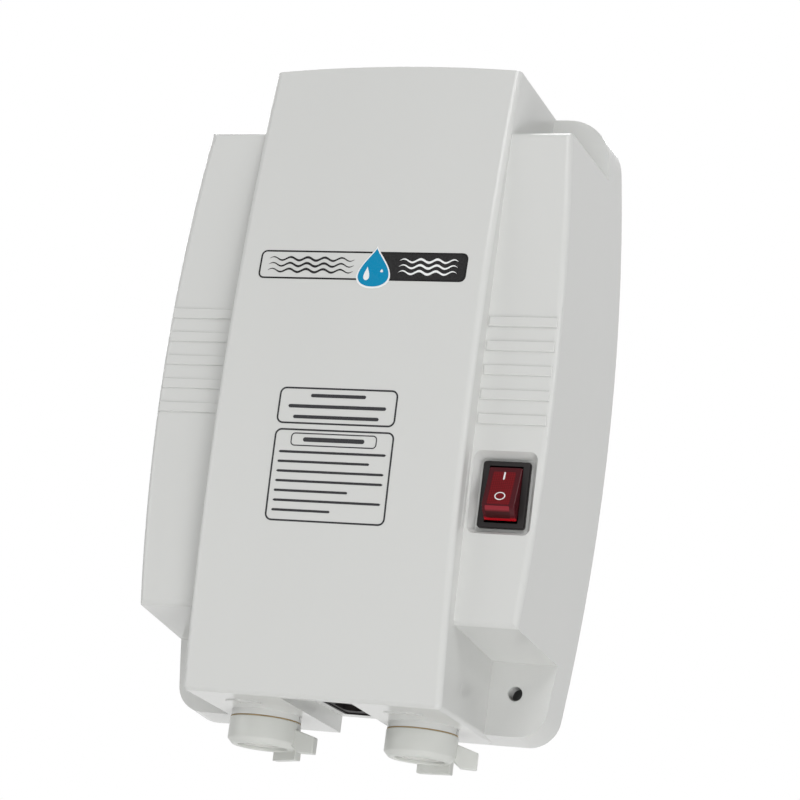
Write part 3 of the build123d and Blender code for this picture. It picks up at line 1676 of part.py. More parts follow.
def make_transformer_winding():
    """Winding round the middle leg of the core, standing on the board."""
    width = coil_core_width - 2 * coil_core_leg - 2 * coil_gap
    height = coil_core_height - 2 * coil_core_leg - 2 * coil_gap
    with BuildPart() as transformer_winding:
        with BuildSketch(facing(board_front)):
            with Locations((board_x, coil_z)):
                Rectangle(width, height)
        extrude(amount=coil_core_depth + 2 * coil_winding_bulge)
        with BuildSketch(facing(board_front + coil_winding_bulge)):
            with Locations((board_x, coil_z)):
                Rectangle(width, 2 * coil_core_leg)
        extrude(amount=coil_core_depth, mode=Mode.SUBTRACT)
    transformer_winding.part.label = "transformer_winding"
    export_step(transformer_winding.part, "parts/transformer_winding.step")


def make_capacitor():
    """Round capacitor standing on the board."""
    with BuildPart() as capacitor:
        with BuildSketch(facing(board_front)):
            with Locations((board_x, capacitor_z)):
                Circle(capacitor_radius)
        extrude(amount=capacitor_height)
        rims = capacitor.edges().filter_by(GeomType.CIRCLE)
        fillet(rims, capacitor_edge)
    capacitor.part.label = "capacitor"
    export_step(capacitor.part, "parts/capacitor.step")


def make_rectifier():
    """Flat bridge rectifier standing on the board."""
    with BuildPart() as rectifier:
        with BuildSketch(facing(board_front)):
            with Locations((board_x, rectifier_z)):
                Rectangle(rectifier_width, rectifier_thickness)
        extrude(amount=rectifier_height)
    rectifier.part.label = "rectifier"
    export_step(rectifier.part, "parts/rectifier.step")


def make_relay():
    """Relay box on the board."""
    with BuildPart() as relay:
        with BuildSketch(facing(board_front)):
            with Locations((board_x, relay_z)):
                RectangleRounded(relay_width, relay_height, board_screw_radius / 2)
        extrude(amount=relay_depth)
    relay.part.label = "relay"
    export_step(relay.part, "parts/relay.step")


def make_fuse():
    """Glass fuse across the board."""
    with BuildPart() as fuse:
        with BuildSketch(Plane.YZ.offset(board_x - fuse_length / 2)):
            with Locations((-board_front - fuse_lift, fuse_z)):
                Circle(fuse_radius)
        extrude(amount=fuse_length)
    fuse.part.label = "fuse"
    export_step(fuse.part, "parts/fuse.step")


def make_fuse_holder():
    """Two clips that hold the fuse."""
    clip_half = fuse_radius + clip_wall
    with BuildPart() as fuse_holder:
        for side in (-1, 1):
            middle = board_x + side * (fuse_length - clip_width) / 2
            with BuildSketch(Plane.YZ.offset(middle)):
                with Locations((-board_front, fuse_z)):
                    Rectangle(fuse_lift, 2 * clip_half, align=(Align.MAX, Align.CENTER))
                with Locations((-board_front - fuse_lift, fuse_z)):
                    Circle(fuse_radius, mode=Mode.SUBTRACT)
            extrude(amount=clip_width / 2, both=True)
    fuse_holder.part.label = "fuse_holder"
    export_step(fuse_holder.part, "parts/fuse_holder.step")


def make_internal_leads():
    """Leads from the power socket to the switch and the circuit board."""
    socket_top = socket_face + inlet_body_height + inlet_tab_length
    near_row = inlet_depth - inlet_pin_spacing / 2
    far_row = inlet_depth + inlet_pin_spacing / 2
    tab_end = switch_back - tab_length
    routes = [
        [
            (0, -near_row, socket_top),
            (0, -near_row, lead_low),
            (lead_right, -lead_depth, lead_low),
            (lead_right, -lead_depth, switch_z - tab_pitch),
            (switch_x, -lead_depth, switch_z - tab_pitch),
            (switch_x, -tab_end, switch_z - tab_pitch),
        ],
        [
            (switch_x, -tab_end, switch_z + tab_pitch),
            (switch_x, -lead_depth, switch_z + tab_pitch),
            (lead_right - 2 * lead_bend, -lead_depth, switch_z + tab_pitch),
            (lead_right - 2 * lead_bend, -lead_depth, lead_mid),
            (lead_board_x + lead_spacing, -lead_depth, lead_mid),
            (lead_board_x + lead_spacing, -lead_depth, board_low + lead_bend / 2),
        ],
        [
            (0, -far_row, socket_top),
            (0, -far_row, lead_low + 2 * lead_bend),
            (0, -lead_depth, lead_low + 2 * lead_bend),
            (lead_board_x, -lead_depth, lead_low + 2 * lead_bend),
            (lead_board_x, -lead_depth, board_low + lead_bend / 2),
        ],
    ]
    with BuildPart() as internal_leads:
        for points in routes:
            heading = Vector(*points[1]) - Vector(*points[0])
            with BuildLine() as route:
                FilletPolyline(*points, radius=[lead_bend] * (len(points) - 2))
            with BuildSketch(Plane(origin=points[0], z_dir=heading)):
                Circle(lead_radius)
            sweep(path=route.wire())
    internal_leads.part.label = "internal_leads"
    export_step(internal_leads.part, "parts/internal_leads.step")


make_front_cover()
make_back_plate()
make_cover_screws()
make_rubber_feet()
make_switch_bezel()
make_switch_rocker()
make_switch_lamp()
make_switch_terminals()
make_power_inlet()
make_inlet_pins()
for side_name, side_sign in port_sides:
    make_port_fitting(side_name, side_sign)
    make_lock_ring(side_name, side_sign, ring_turns[side_name])
    make_port_plug(side_name, side_sign)
    make_plug_seal(side_name, side_sign)
make_hose("inlet_hose", hose_tops[0], hose_ends[0])
make_hose("outlet_hose", hose_tops[1], hose_ends[1])
make_hose_clamps()
make_drive_housing()
make_diaphragm()
make_valve_plate()
make_check_valves()
make_pump_head()
make_head_screws()
make_pressure_switch_body()
make_pressure_plunger()
make_pressure_spring()
make_microswitch()
make_motor_can()
make_motor_magnets()
make_motor_end_cap()
make_motor_brushes()
make_brush_springs()
make_shaft_bearings()
make_rotor_core()
make_rotor_windings()
make_commutator()
make_motor_shaft()
make_cam_hub()
make_cam_bearing()
make_wobble_plate()
make_motor_bracket()
make_bracket_grommets()
make_bracket_screws()
make_pump_screws()
make_motor_strap()
make_circuit_board()
make_board_screws()
make_transformer_core()
make_transformer_winding()
make_capacitor()
make_rectifier()
make_relay()
make_fuse()
make_fuse_holder()
make_internal_leads()
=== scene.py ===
"""Looks of a wall-mounted bottled-water pump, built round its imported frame.

X runs to the right, Y back into the wall and Z up, all in metres. The origin is
on the wall, at the centre of the four mounting holes. Sizes that a fitter would
read off a drawing are written in millimetres and turned into metres by mm().
"""

import json
import logging
import math
from collections.abc import Callable
from dataclasses import dataclass
from enum import Enum

import bmesh
import bpy
import numpy as np
from mathutils import Matrix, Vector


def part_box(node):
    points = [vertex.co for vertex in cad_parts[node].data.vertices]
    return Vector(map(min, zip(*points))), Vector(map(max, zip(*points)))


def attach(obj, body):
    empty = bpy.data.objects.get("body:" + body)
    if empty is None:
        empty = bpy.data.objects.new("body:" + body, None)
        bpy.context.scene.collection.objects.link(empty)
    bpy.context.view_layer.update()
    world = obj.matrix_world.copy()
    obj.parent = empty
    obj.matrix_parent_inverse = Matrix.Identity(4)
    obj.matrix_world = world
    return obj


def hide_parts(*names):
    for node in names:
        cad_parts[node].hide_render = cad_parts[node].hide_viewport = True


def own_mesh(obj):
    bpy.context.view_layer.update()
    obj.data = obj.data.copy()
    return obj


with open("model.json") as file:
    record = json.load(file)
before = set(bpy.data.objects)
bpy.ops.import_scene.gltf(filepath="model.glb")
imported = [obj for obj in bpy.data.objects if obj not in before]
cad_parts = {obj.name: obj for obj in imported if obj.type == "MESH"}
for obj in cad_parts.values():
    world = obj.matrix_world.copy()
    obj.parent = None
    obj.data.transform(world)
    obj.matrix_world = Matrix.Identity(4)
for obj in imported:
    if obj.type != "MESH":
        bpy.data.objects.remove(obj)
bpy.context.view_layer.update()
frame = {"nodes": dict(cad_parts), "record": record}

LOG = logging.getLogger("bottle_pump")

# Red, green and blue; X, Y and Z; two values of a flat shape; and a method that lays
# flat points on a curved face at a height above it.
Colour = tuple[float, float, float]
Triple = tuple[float, float, float]
Pair = tuple[float, float]
Lay = Callable[[np.ndarray, float], np.ndarray]

MM_PER_METRE = 1000.0
# Points of a new mesh that lie closer than this, in millimetres, become one.
WELD = 0.0005
# Points along one round corner of a flat rectangle.
CORNER_STEPS = 9


class Body(Enum):
    """Moving bodies of the pump that new pieces ride on."""

    HOUSING = "housing"
    ROCKER = "rocker"
    RING_LEFT = "ring_left"
    RING_RIGHT = "ring_right"


class Side(Enum):
    """Left or right port, with its sign along X and its ring's body."""

    LEFT = (-1, Body.RING_LEFT)
    RIGHT = (1, Body.RING_RIGHT)

    @property
    def sign(self) -> int:
        """Sign of the port's place along X."""
        return self.value[0]

    @property
    def ring_body(self) -> Body:
        """Body of the port's lock ring."""
        return self.value[1]


def mm(value: float | np.ndarray) -> float | np.ndarray:
    """Turns a length or an array of lengths from millimetres into metres."""
    return value * 0.001


class NodeTree:
    """A material whose nodes are added one after another."""

    # Values of a pattern between which the colour and the roughness change.
    TONE_ENDS = (0.3, 0.7)
    GLOSS_ENDS = (0.25, 0.75)
    # Sizes in millimetres of a patch of polish and of a sink mark, and the mark's depth.
    PATCH_SIZE = 2.0
    SINK_SIZE = 6.0
    SINK_DEPTH = 0.02

    def __init__(self, name: str) -> None:
        """Starts a material with a shader and an output.

        Args:
            name: Name of the material.
        """
        self.material = bpy.data.materials.new(name)
        self.material.use_nodes = True
        self.tree = self.material.node_tree
        self.tree.nodes.clear()
        self.shader = self.add("ShaderNodeBsdfPrincipled")
        self.output = self.add("ShaderNodeOutputMaterial")
        self.link(self.shader, "BSDF", self.output, "Surface")
        self.place = self.add("ShaderNodeTexCoord")

    def add(self, kind: str) -> bpy.types.Node:
        """Adds one node of the type that Blender has under this name."""
        return self.tree.nodes.new(kind)

    def link(self, source: bpy.types.Node, output: str, target: bpy.types.Node, socket: str) -> None:
        """Joins a named output of one node to a named input of another."""
        self.tree.links.new(source.outputs[output], target.inputs[socket])

    def set(self, **values: float | tuple[float, ...]) -> None:
        """Sets uniform values on the shader's own sockets.

        Args:
            **values: Socket names in lower case with underscores, and their values.
        """
        named = {socket.name.lower().replace(" ", "_"): socket for socket in self.shader.inputs}
        for name, value in values.items():
            named[name].default_value = value

    def noise(self, size: float, detail: float = 2.0, stretch: Triple = (1.0, 1.0, 1.0)) -> bpy.types.Node:
        """Adds noise on object coordinates.

        Args:
            size: Size of one blotch in millimetres.
            detail: Number of finer layers.
            stretch: How much finer the noise runs along X, Y and Z.

        Returns:
            The noise node, with a Factor output.
        """
        mapping = self.add("ShaderNodeMapping")
        mapping.inputs["Scale"].default_value = stretch
        self.link(self.place, "Object", mapping, "Vector")
        noise = self.add("ShaderNodeTexNoise")
        noise.inputs["Scale"].default_value = 1.0 / mm(size)
        noise.inputs["Detail"].default_value = detail
        self.link(mapping, "Vector", noise, "Vector")
        return noise

    def bands(self, pitch: float, distortion: float = 0.0) -> bpy.types.Node:
        """Adds level bands, one above another, on object coordinates.

        The texture turns by ten radians over one pitch, so a band comes every fifth of
        pi times the pitch.

        Args:
            pitch: Pitch in millimetres.
            distortion: How unevenly the bands run.

        Returns:
            The wave node.
        """
        wave = self.add("ShaderNodeTexWave")
        wave.bands_direction = "Z"
        wave.inputs["Scale"].default_value = 0.5 / mm(pitch)
        wave.inputs["Distortion"].default_value = distortion
        self.link(self.place, "Object", wave, "Vector")
        return wave

    def tint(self, source: bpy.types.Node, dark: Colour, light: Colour) -> None:
        """Colours the surface between two tones by a pattern.

        Args:
            source: Pattern node.
            dark: Tone where the pattern is low.
            light: Tone where the pattern is high.
        """
        ramp = self.add("ShaderNodeValToRGB")
        for element, position, tone in zip(ramp.color_ramp.elements, self.TONE_ENDS, (dark, light)):
            element.position = position
            element.color = (*tone, 1.0)
        self.link(source, pattern_output(source), ramp, "Fac")
        self.link(ramp, "Color", self.shader, "Base Color")

    def vary_roughness(self, source: bpy.types.Node, low: float, high: float) -> None:
        """Spreads the roughness between two values by a pattern.

        Args:
            source: Pattern node.
            low: Roughness where the pattern is low.
            high: Roughness where the pattern is high.
        """
        spread = self.add("ShaderNodeMapRange")
        spread.inputs["From Min"].default_value = self.GLOSS_ENDS[0]
        spread.inputs["From Max"].default_value = self.GLOSS_ENDS[1]
        spread.inputs["To Min"].default_value = low
        spread.inputs["To Max"].default_value = high
        self.link(source, pattern_output(source), spread, "Value")
        self.link(spread, "Result", self.shader, "Roughness")

    def bump(self, source: bpy.types.Node, height: float) -> None:
        """Raises the surface by a pattern, on top of any bump made before.

        Args:
            source: Pattern node.
            height: Height of the relief in millimetres.
        """
        bump = self.add("ShaderNodeBump")
        bump.inputs["Distance"].default_value = mm(height)
        self.link(source, pattern_output(source), bump, "Height")
        earlier = self.shader.inputs["Normal"].links
        if earlier:
            self.tree.links.new(earlier[0].from_socket, bump.inputs["Normal"])
        self.link(bump, "Normal", self.shader, "Normal")

    def polish(self, smoothest: float, dullest: float) -> None:
        """Gives glossy plastic faint sink marks and a polish that varies between two roughnesses."""
        self.vary_roughness(self.noise(self.PATCH_SIZE, detail=3.0), smoothest, dullest)
        self.bump(self.noise(self.SINK_SIZE, detail=1.0), self.SINK_DEPTH)


def pattern_output(node: bpy.types.Node) -> str:
    """Gives the name of a pattern node's grey output.

    Args:
        node: A texture or maths node.

    Returns:
        The first of the usual names that the node has.
    """
    names = [output.name for output in node.outputs]
    for wanted in ("Factor", "Fac", "Distance", "Value"):
        if wanted in names:
            return wanted
    return names[0]


@dataclass(frozen=True)
class MouldedPlastic:
    """Injection-moulded plastic, from gloss ABS to dull nylon."""

    name: str
    colour: Colour
    roughness: float
    shade: float = 0.03
    blotch: float = 22.0
    grain: float = 0.5
    relief: float = 0.004
    specular: float = 0.5
    smooth_share: float = 0.93
    dull_share: float = 1.08
    flow: Triple = (1.0, 1.0, 0.35)
    haze: float = 0.25

    def build(self) -> bpy.types.Material:
        """Makes the material.

        Returns:
            Plastic with faint flow marks, a fine mould grain and uneven gloss.
        """
        nodes = NodeTree(self.name)
        flow = nodes.noise(self.blotch, detail=3.0, stretch=self.flow)
        low = tuple(channel * (1.0 - self.shade) for channel in self.colour)
        high = tuple(min(channel * (1.0 + self.shade), 1.0) for channel in self.colour)
        nodes.tint(flow, low, high)
        haze = nodes.noise(self.blotch * self.haze, detail=4.0)
        nodes.vary_roughness(haze, self.roughness * self.smooth_share, self.roughness * self.dull_share)
        nodes.bump(nodes.noise(self.grain), self.relief)
        nodes.set(specular_ior_level=self.specular, ior=1.5)
        return nodes.material


@dataclass(frozen=True)
class SoftRubber:
    """Moulded rubber with a dull bloom."""

    name: str
    colour: Colour
    roughness: float = 0.75
    smooth_share: float = 0.85
    dull_share: float = 1.15
    bloom: float = 3.0
    bloom_gain: float = 1.5
    bloom_lift: float = 0.01
    pit: float = 0.25
    pit_depth: float = 0.02

    def build(self) -> bpy.types.Material:
        """Makes the material.

        Returns:
            Rubber with a pale bloom and fine pits.
        """
        nodes = NodeTree(self.name)
        bloom = nodes.noise(self.bloom, detail=5.0)
        pale = tuple(channel * self.bloom_gain + self.bloom_lift for channel in self.colour)
        nodes.tint(bloom, self.colour, pale)
        dullest = min(self.roughness * self.dull_share, 1.0)
        nodes.vary_roughness(bloom, self.roughness * self.smooth_share, dullest)
        nodes.bump(nodes.noise(self.pit), self.pit_depth)
        nodes.set(sheen_weight=0.15, sheen_roughness=0.5)
        return nodes.material


@dataclass(frozen=True)
class SheetMetal:
    """Plated or brushed metal."""

    name: str
    colour: Colour
    roughness: float = 0.3
    stretch: Triple = (1.0, 1.0, 0.06)
    relief: float = 0.004
    smooth_share: float = 0.75
    dull_share: float = 1.4
    stain: float = 5.0
    stain_tone: float = 0.86
    scratch: float = 0.18

    def build(self) -> bpy.types.Material:
        """Makes the material.

        Returns:
            Metal with long fine scratches and small stains.
        """
        nodes = NodeTree(self.name)
        stain = nodes.noise(self.stain, detail=4.0)
        nodes.tint(stain, tuple(channel * self.stain_tone for channel in self.colour), self.colour)
        scratch = nodes.noise(self.scratch, detail=3.0, stretch=self.stretch)
        nodes.vary_roughness(scratch, self.roughness * self.smooth_share, self.roughness * self.dull_share)
        nodes.bump(scratch, self.relief)
        nodes.set(metallic=1.0)
        return nodes.material


@dataclass(frozen=True)
class SinteredBlock:
    """Pressed ferrite, carbon or stacked iron sheet."""

    name: str
    colour: Colour
    metallic: float = 0.3
    layer: float = 0.0
    layer_depth: float = 0.03
    grain: float = 0.35
    grain_tone: float = 0.75
    grain_depth: float = 0.02
    smoothest: float = 0.45
    dullest: float = 0.7

    def build(self) -> bpy.types.Material:
        """Makes the material.

        Returns:
            A grainy block, with level ridges like sheet edges where it has layers.
        """
        nodes = NodeTree(self.name)
        grain = nodes.noise(self.grain, detail=4.0)
        nodes.tint(grain, tuple(channel * self.grain_tone for channel in self.colour), self.colour)
        nodes.vary_roughness(grain, self.smoothest, self.dullest)
        nodes.bump(grain, self.grain_depth)
        if self.layer:
            nodes.bump(nodes.bands(self.layer), self.layer_depth)
        nodes.set(metallic=self.metallic)
        return nodes.material


@dataclass(frozen=True)
class WoundWire:
    """Enamelled copper wire laid side by side."""

    name: str
    colour: Colour
    pitch: float = 0.45
    unevenness: float = 1.2
    # Share of the colour left in the grooves between turns, as painted shade.
    groove_painted_shade: float = 0.45
    ridge: float = 0.12
    gloss_patch: float = 1.5
    smoothest: float = 0.2
    dullest: float = 0.4

    def build(self) -> bpy.types.Material:
        """Makes the material.

        Returns:
            Copper with level ridges like turns of wire, under a clear enamel, darkened in the grooves between
            turns as painted shade.
        """
        nodes = NodeTree(self.name)
        turns = nodes.bands(self.pitch, self.unevenness)
        # Painted shade: the grooves between turns are darkened.
        nodes.tint(turns, tuple(channel * self.groove_painted_shade for channel in self.colour), self.colour)
        nodes.vary_roughness(nodes.noise(self.gloss_patch, detail=3.0), self.smoothest, self.dullest)
        nodes.bump(turns, self.ridge)
        nodes.set(metallic=0.85, coat_weight=0.5, coat_roughness=0.15)
        return nodes.material


@dataclass(frozen=True)
class ClearShell:
    """Clear or tinted glass and lamp lenses."""

    name: str
    colour: Colour
    roughness: float = 0.05
    transmission: float = 0.9
    smear: float = 2.0
    smear_tone: float = 0.94
    dull_share: float = 2.0

    def build(self) -> bpy.types.Material:
        """Makes the material.

        Returns:
            A see-through shell with faint smears.
        """
        nodes = NodeTree(self.name)
        smear = nodes.noise(self.smear, detail=3.0)
        nodes.tint(smear, tuple(channel * self.smear_tone for channel in self.colour), self.colour)
        nodes.vary_roughness(smear, self.roughness, self.roughness * self.dull_share)
        nodes.set(transmission_weight=self.transmission, ior=1.49)
        return nodes.material


@dataclass(frozen=True)
class RedLens:
    """Red panel of the rocker, with rows of small prisms under its face."""

    name: str
    deep: Colour
    bright: Colour
    prism: float = 0.62
    tilt: float = 20.0
    face_depth: float = 47.0
    specular: float = 0.1
    smoothest: float = 0.08
    dullest: float = 0.2

    def build(self) -> bpy.types.Material:
        """Makes the material.

        Returns:
            Deep red plastic with a brighter dot in the middle of each prism.
        """
        nodes = NodeTree(self.name)
        prisms = nodes.add("ShaderNodeTexVoronoi")
        prisms.inputs["Scale"].default_value = 1.0 / mm(self.prism)
        prisms.inputs["Randomness"].default_value = 0.0
        turn = nodes.add("ShaderNodeMapping")
        turn.inputs["Rotation"].default_value = (math.radians(self.tilt), 0.0, 0.0)
        turn.inputs["Location"].default_value = (0.0, mm(self.face_depth), 0.0)
        nodes.link(nodes.place, "Object", turn, "Vector")
        nodes.link(turn, "Vector", prisms, "Vector")
        nodes.tint(prisms, self.bright, self.deep)
        nodes.polish(self.smoothest, self.dullest)
        nodes.set(ior=1.49, specular_ior_level=self.specular)
        return nodes.material


@dataclass(frozen=True)
class RedShellPaintedLight:
    """Red shell of the rocker, whose tone changes over a short height, to paint the light that gathers in the
    red plastic and the shade beside it.
    """

    name: str
    # Tones above and below the change; the brighter is painted light, and a dark tone under a painted glow is
    # painted shade.
    body: Colour
    rim: Colour
    # Heights in millimetres between which the painted light fades in.
    rim_top: float = -43.2
    rim_bottom: float = -44.4
    specular: float = 0.13
    smoothest: float = 0.08
    dullest: float = 0.16

    def build(self) -> bpy.types.Material:
        """Makes the material.

        Returns:
            Glossy red plastic with one tone above the change and another below it; the brighter tone is
            painted light.
        """
        nodes = NodeTree(self.name)
        split = nodes.add("ShaderNodeSeparateXYZ")
        nodes.link(nodes.place, "Object", split, "Vector")
        fade = nodes.add("ShaderNodeMapRange")
        fade.inputs["From Min"].default_value = mm(self.rim_top)
        fade.inputs["From Max"].default_value = mm(self.rim_bottom)
        nodes.link(split, "Z", fade, "Value")
        nodes.tint(fade, self.body, self.rim)
        nodes.polish(self.smoothest, self.dullest)
        nodes.set(ior=1.49, specular_ior_level=self.specular)
        return nodes.material


@dataclass(frozen=True)
class PrintedInk:
    """Pad-printed ink, slightly uneven where it lies on the gloss."""

    name: str
    colour: Colour
    roughness: float = 0.35
    specular: float = 0.2
    wear: float = 0.02
    bare: float = 0.8
    spot: float = 0.5
    relief: float = 0.006
    smooth_share: float = 0.8
    dull_share: float = 1.3

    def build(self) -> bpy.types.Material:
        """Makes the material.

        Returns:
            Ink with tiny thin spots and an uneven sheen.
        """
        nodes = NodeTree(self.name)
        thin = nodes.noise(self.spot, detail=4.0)
        paler = tuple(channel + (self.bare - channel) * self.wear for channel in self.colour)
        nodes.tint(thin, self.colour, paler)
        nodes.vary_roughness(thin, self.roughness * self.smooth_share, self.roughness * self.dull_share)
        nodes.bump(thin, self.relief)
        nodes.set(specular_ior_level=self.specular)
        return nodes.material


def seen_rays(tree: bpy.types.NodeTree) -> bpy.types.NodeSocket:
    """Tells the rays that show a surround from those that light by it.

    Args:
        tree: Node tree of a material or a world.

    Returns:
        Output that is 1 for camera, glass and gloss rays, and 0 for all others.
    """
    rays = tree.nodes.new("ShaderNodeLightPath")
    shown = rays.outputs["Is Camera Ray"]
    for name in ("Is Transmission Ray", "Is Glossy Ray"):
        either = tree.nodes.new("ShaderNodeMath")
        either.operation = "MAXIMUM"
        tree.links.new(shown, either.inputs[0])
        tree.links.new(rays.outputs[name], either.inputs[1])
        shown = either.outputs[0]
    return shown


@dataclass(frozen=True)
class PaleFloor:
    """Plain pale floor that stays pale to the camera and keeps a soft shadow."""

    name: str
    colour: Colour
    glow: float = 0.62
    patch: float = 400.0
    patch_tone: float = 0.99
    smoothest: float = 0.7
    dullest: float = 0.8

    def build(self) -> bpy.types.Material:
        """Makes the material.

        Returns:
            Dull paint, with a glow that only camera, gloss and glass rays see.
        """
        nodes = NodeTree(self.name)
        patches = nodes.noise(self.patch)
        nodes.tint(patches, tuple(channel * self.patch_tone for channel in self.colour), self.colour)
        nodes.vary_roughness(patches, self.smoothest, self.dullest)
        level = nodes.add("ShaderNodeMath")
        level.operation = "MULTIPLY"
        level.inputs[1].default_value = self.glow
        nodes.tree.links.new(seen_rays(nodes.tree), level.inputs[0])
        glow = nodes.add("ShaderNodeEmission")
        nodes.link(level, "Value", glow, "Strength")
        both = nodes.add("ShaderNodeAddShader")
        nodes.tree.links.new(nodes.shader.outputs["BSDF"], both.inputs[0])
        nodes.tree.links.new(glow.outputs["Emission"], both.inputs[1])
        nodes.link(both, "Shader", nodes.output, "Surface")
        return nodes.material


@dataclass(frozen=True)
class CircuitLaminate:
    """Green board with copper tracks under its mask."""

    name: str
    mask: Colour
    track: Colour
    pitch: float = 2.54
    field_tone: float = 0.85
    weave: float = 0.4
    relief: float = 0.01
    smoothest: float = 0.25
    dullest: float = 0.45

    def build(self) -> bpy.types.Material:
        """Makes the material.

        Returns:
            Green laminate crossed by paler tracks, with a fine glass weave.
        """
        nodes = NodeTree(self.name)
        tracks = nodes.add("ShaderNodeTexBrick")
        tracks.inputs["Scale"].default_value = tracks.inputs["Row Height"].default_value / mm(self.pitch)
        tracks.inputs["Color1"].default_value = (*self.mask, 1.0)
        tracks.inputs["Color2"].default_value = (*(channel * self.field_tone for channel in self.mask), 1.0)
        tracks.inputs["Mortar"].default_value = (*self.track, 1.0)
        turn = nodes.add("ShaderNodeMapping")
        turn.inputs["Rotation"].default_value = (math.radians(90.0), 0.0, 0.0)
        nodes.link(nodes.place, "Object", turn, "Vector")
        nodes.link(turn, "Vector", tracks, "Vector")
        nodes.link(tracks, "Color", nodes.shader, "Base Color")
        weave = nodes.noise(self.weave)
        nodes.vary_roughness(weave, self.smoothest, self.dullest)
        nodes.bump(weave, self.relief)
        nodes.set(coat_weight=0.4, coat_roughness=0.2)
        return nodes.material


FINISHES = {finish.name: finish for finish in (
    MouldedPlastic(
        "housing_white", (0.66, 0.665, 0.65),
        roughness=0.22, shade=0.01, blotch=60.0, grain=0.9, relief=0.002, specular=0.42,
    ),
    MouldedPlastic(
        "plate_grey", (0.40, 0.41, 0.40),
        roughness=0.55, shade=0.05, blotch=14.0, grain=0.45, relief=0.03,
    ),
    MouldedPlastic(
        "ring_white", (0.65, 0.66, 0.63),
        roughness=0.34, shade=0.02, blotch=14.0, grain=0.5, relief=0.004, specular=0.4,
    ),
    MouldedPlastic(
        "fitting_white", (0.68, 0.68, 0.655),
        roughness=0.36, shade=0.02, blotch=9.0, grain=0.4, relief=0.005,
    ),
    MouldedPlastic(
        "bezel_black", (0.012, 0.010, 0.010),
        roughness=0.4, shade=0.12, blotch=4.0, grain=0.3, relief=0.006, specular=0.3,
    ),
    MouldedPlastic(
        "inlet_black", (0.012, 0.010, 0.011),
        roughness=0.5, shade=0.12, blotch=4.0, grain=0.25, relief=0.012, specular=0.2,
    ),
    MouldedPlastic(
        "drive_black", (0.022, 0.022, 0.024),
        roughness=0.5, shade=0.15, blotch=8.0, grain=0.4, relief=0.03,
    ),
    MouldedPlastic(
        "head_black", (0.026, 0.026, 0.028),
        roughness=0.48, shade=0.15, blotch=8.0, grain=0.4, relief=0.03,
    ),
    MouldedPlastic(
        "relay_blue", (0.03, 0.10, 0.30),
        roughness=0.4, shade=0.06, blotch=5.0, grain=0.3, relief=0.01,
    ),
    MouldedPlastic(
        "capacitor_blue", (0.02, 0.04, 0.16),
        roughness=0.25, shade=0.06, blotch=5.0, grain=0.3, relief=0.004,
    ),
    MouldedPlastic(
        "lead_sleeve", (0.35, 0.02, 0.015),
        roughness=0.4, shade=0.06, blotch=6.0, grain=0.3, relief=0.006,
    ),
    MouldedPlastic(
        "hose_clear", (0.72, 0.75, 0.75),
        roughness=0.3, shade=0.04, blotch=12.0, grain=0.6, relief=0.006,
    ),
    SoftRubber("foot_rubber", (0.014, 0.014, 0.014)),
    SoftRubber("seal_rubber", (0.03, 0.018, 0.012)),
    SoftRubber("diaphragm_rubber", (0.02, 0.02, 0.02)),
    SheetMetal("screw_steel", (0.62, 0.62, 0.60), roughness=0.28, stretch=(1.0, 0.2, 1.0)),
    SheetMetal("can_steel", (0.55, 0.56, 0.57), roughness=0.32),
    SheetMetal("clamp_steel", (0.66, 0.67, 0.68), roughness=0.26, stretch=(0.06, 1.0, 1.0)),
    SheetMetal("contact_brass", (0.74, 0.55, 0.25), roughness=0.3),
    SinteredBlock("brush_carbon", (0.035, 0.035, 0.037), metallic=0.1),
    SinteredBlock("magnet_ferrite", (0.06, 0.06, 0.065), metallic=0.2),
    SinteredBlock("core_steel", (0.30, 0.30, 0.31), metallic=0.8, layer=0.5),
    WoundWire("winding_copper", (0.58, 0.24, 0.10)),
    ClearShell("lamp_glass", (1.0, 0.42, 0.2)),
    ClearShell("fuse_glass", (0.9, 0.95, 0.95)),
    CircuitLaminate("board_green", mask=(0.02, 0.14, 0.05), track=(0.10, 0.32, 0.12)),
    # The rocker's red turns bright below the change, at its lower end: a painted band of gathered light.
    RedShellPaintedLight("rocker_red", body=(0.07, 0.006, 0.010), rim=(0.42, 0.004, 0.010)),
    RedLens("rocker_panel", deep=(0.06, 0.003, 0.005), bright=(0.20, 0.008, 0.012)),
    # The lower end's plate is bright above the change, a painted glow of inner reflection, and dark below it,
    # painted shade.
    RedShellPaintedLight(
        "rocker_glow", body=(0.27, 0.024, 0.034), rim=(0.045, 0.004, 0.005), rim_top=-41.3, rim_bottom=-42.9
    ),
    PrintedInk("ink_black", (0.006, 0.0055, 0.006), roughness=0.5),
    PrintedInk("ink_blue", (0.0, 0.25, 0.46), roughness=0.5, specular=0.08),
    PrintedInk("ink_white", (0.86, 0.87, 0.87), roughness=0.3),
    PrintedInk("ink_grey", (0.03, 0.03, 0.033), roughness=0.5),
    # Brownish painted shade that fills the gap between each port's collar and ring.
    PrintedInk("seam_brown", (0.40, 0.29, 0.15), roughness=0.6),
    PaleFloor("floor_pale", (0.80, 0.80, 0.79)),
)}


class Paint:
    """Makes each finish once and hands it out."""

    def __init__(self) -> None:
        """Starts with no material made."""
        self.made: dict[str, bpy.types.Material] = {}

    def get(self, name: str) -> bpy.types.Material:
        """Gives the material of a finish.

        Args:
            name: Name in FINISHES.

        Returns:
            The material, made at its first use.
        """
        if name not in self.made:
            self.made[name] = FINISHES[name].build()
        return self.made[name]

    def dress(self, piece: bpy.types.Object, name: str) -> None:
        """Puts the finish that has this name in FINISHES on the whole piece."""
        piece.data.materials.clear()
        piece.data.materials.append(self.get(name))

    def dress_cad(self) -> None:
        """Puts its record slot's finish on every CAD node through the node's own slots."""
        for part in frame["record"]["subparts"]:
            node = frame["nodes"][part["node"]]
            self.dress(node, part["material_slot"])
            LOG.info("dressed %s in %s", part["node"], part["material_slot"])


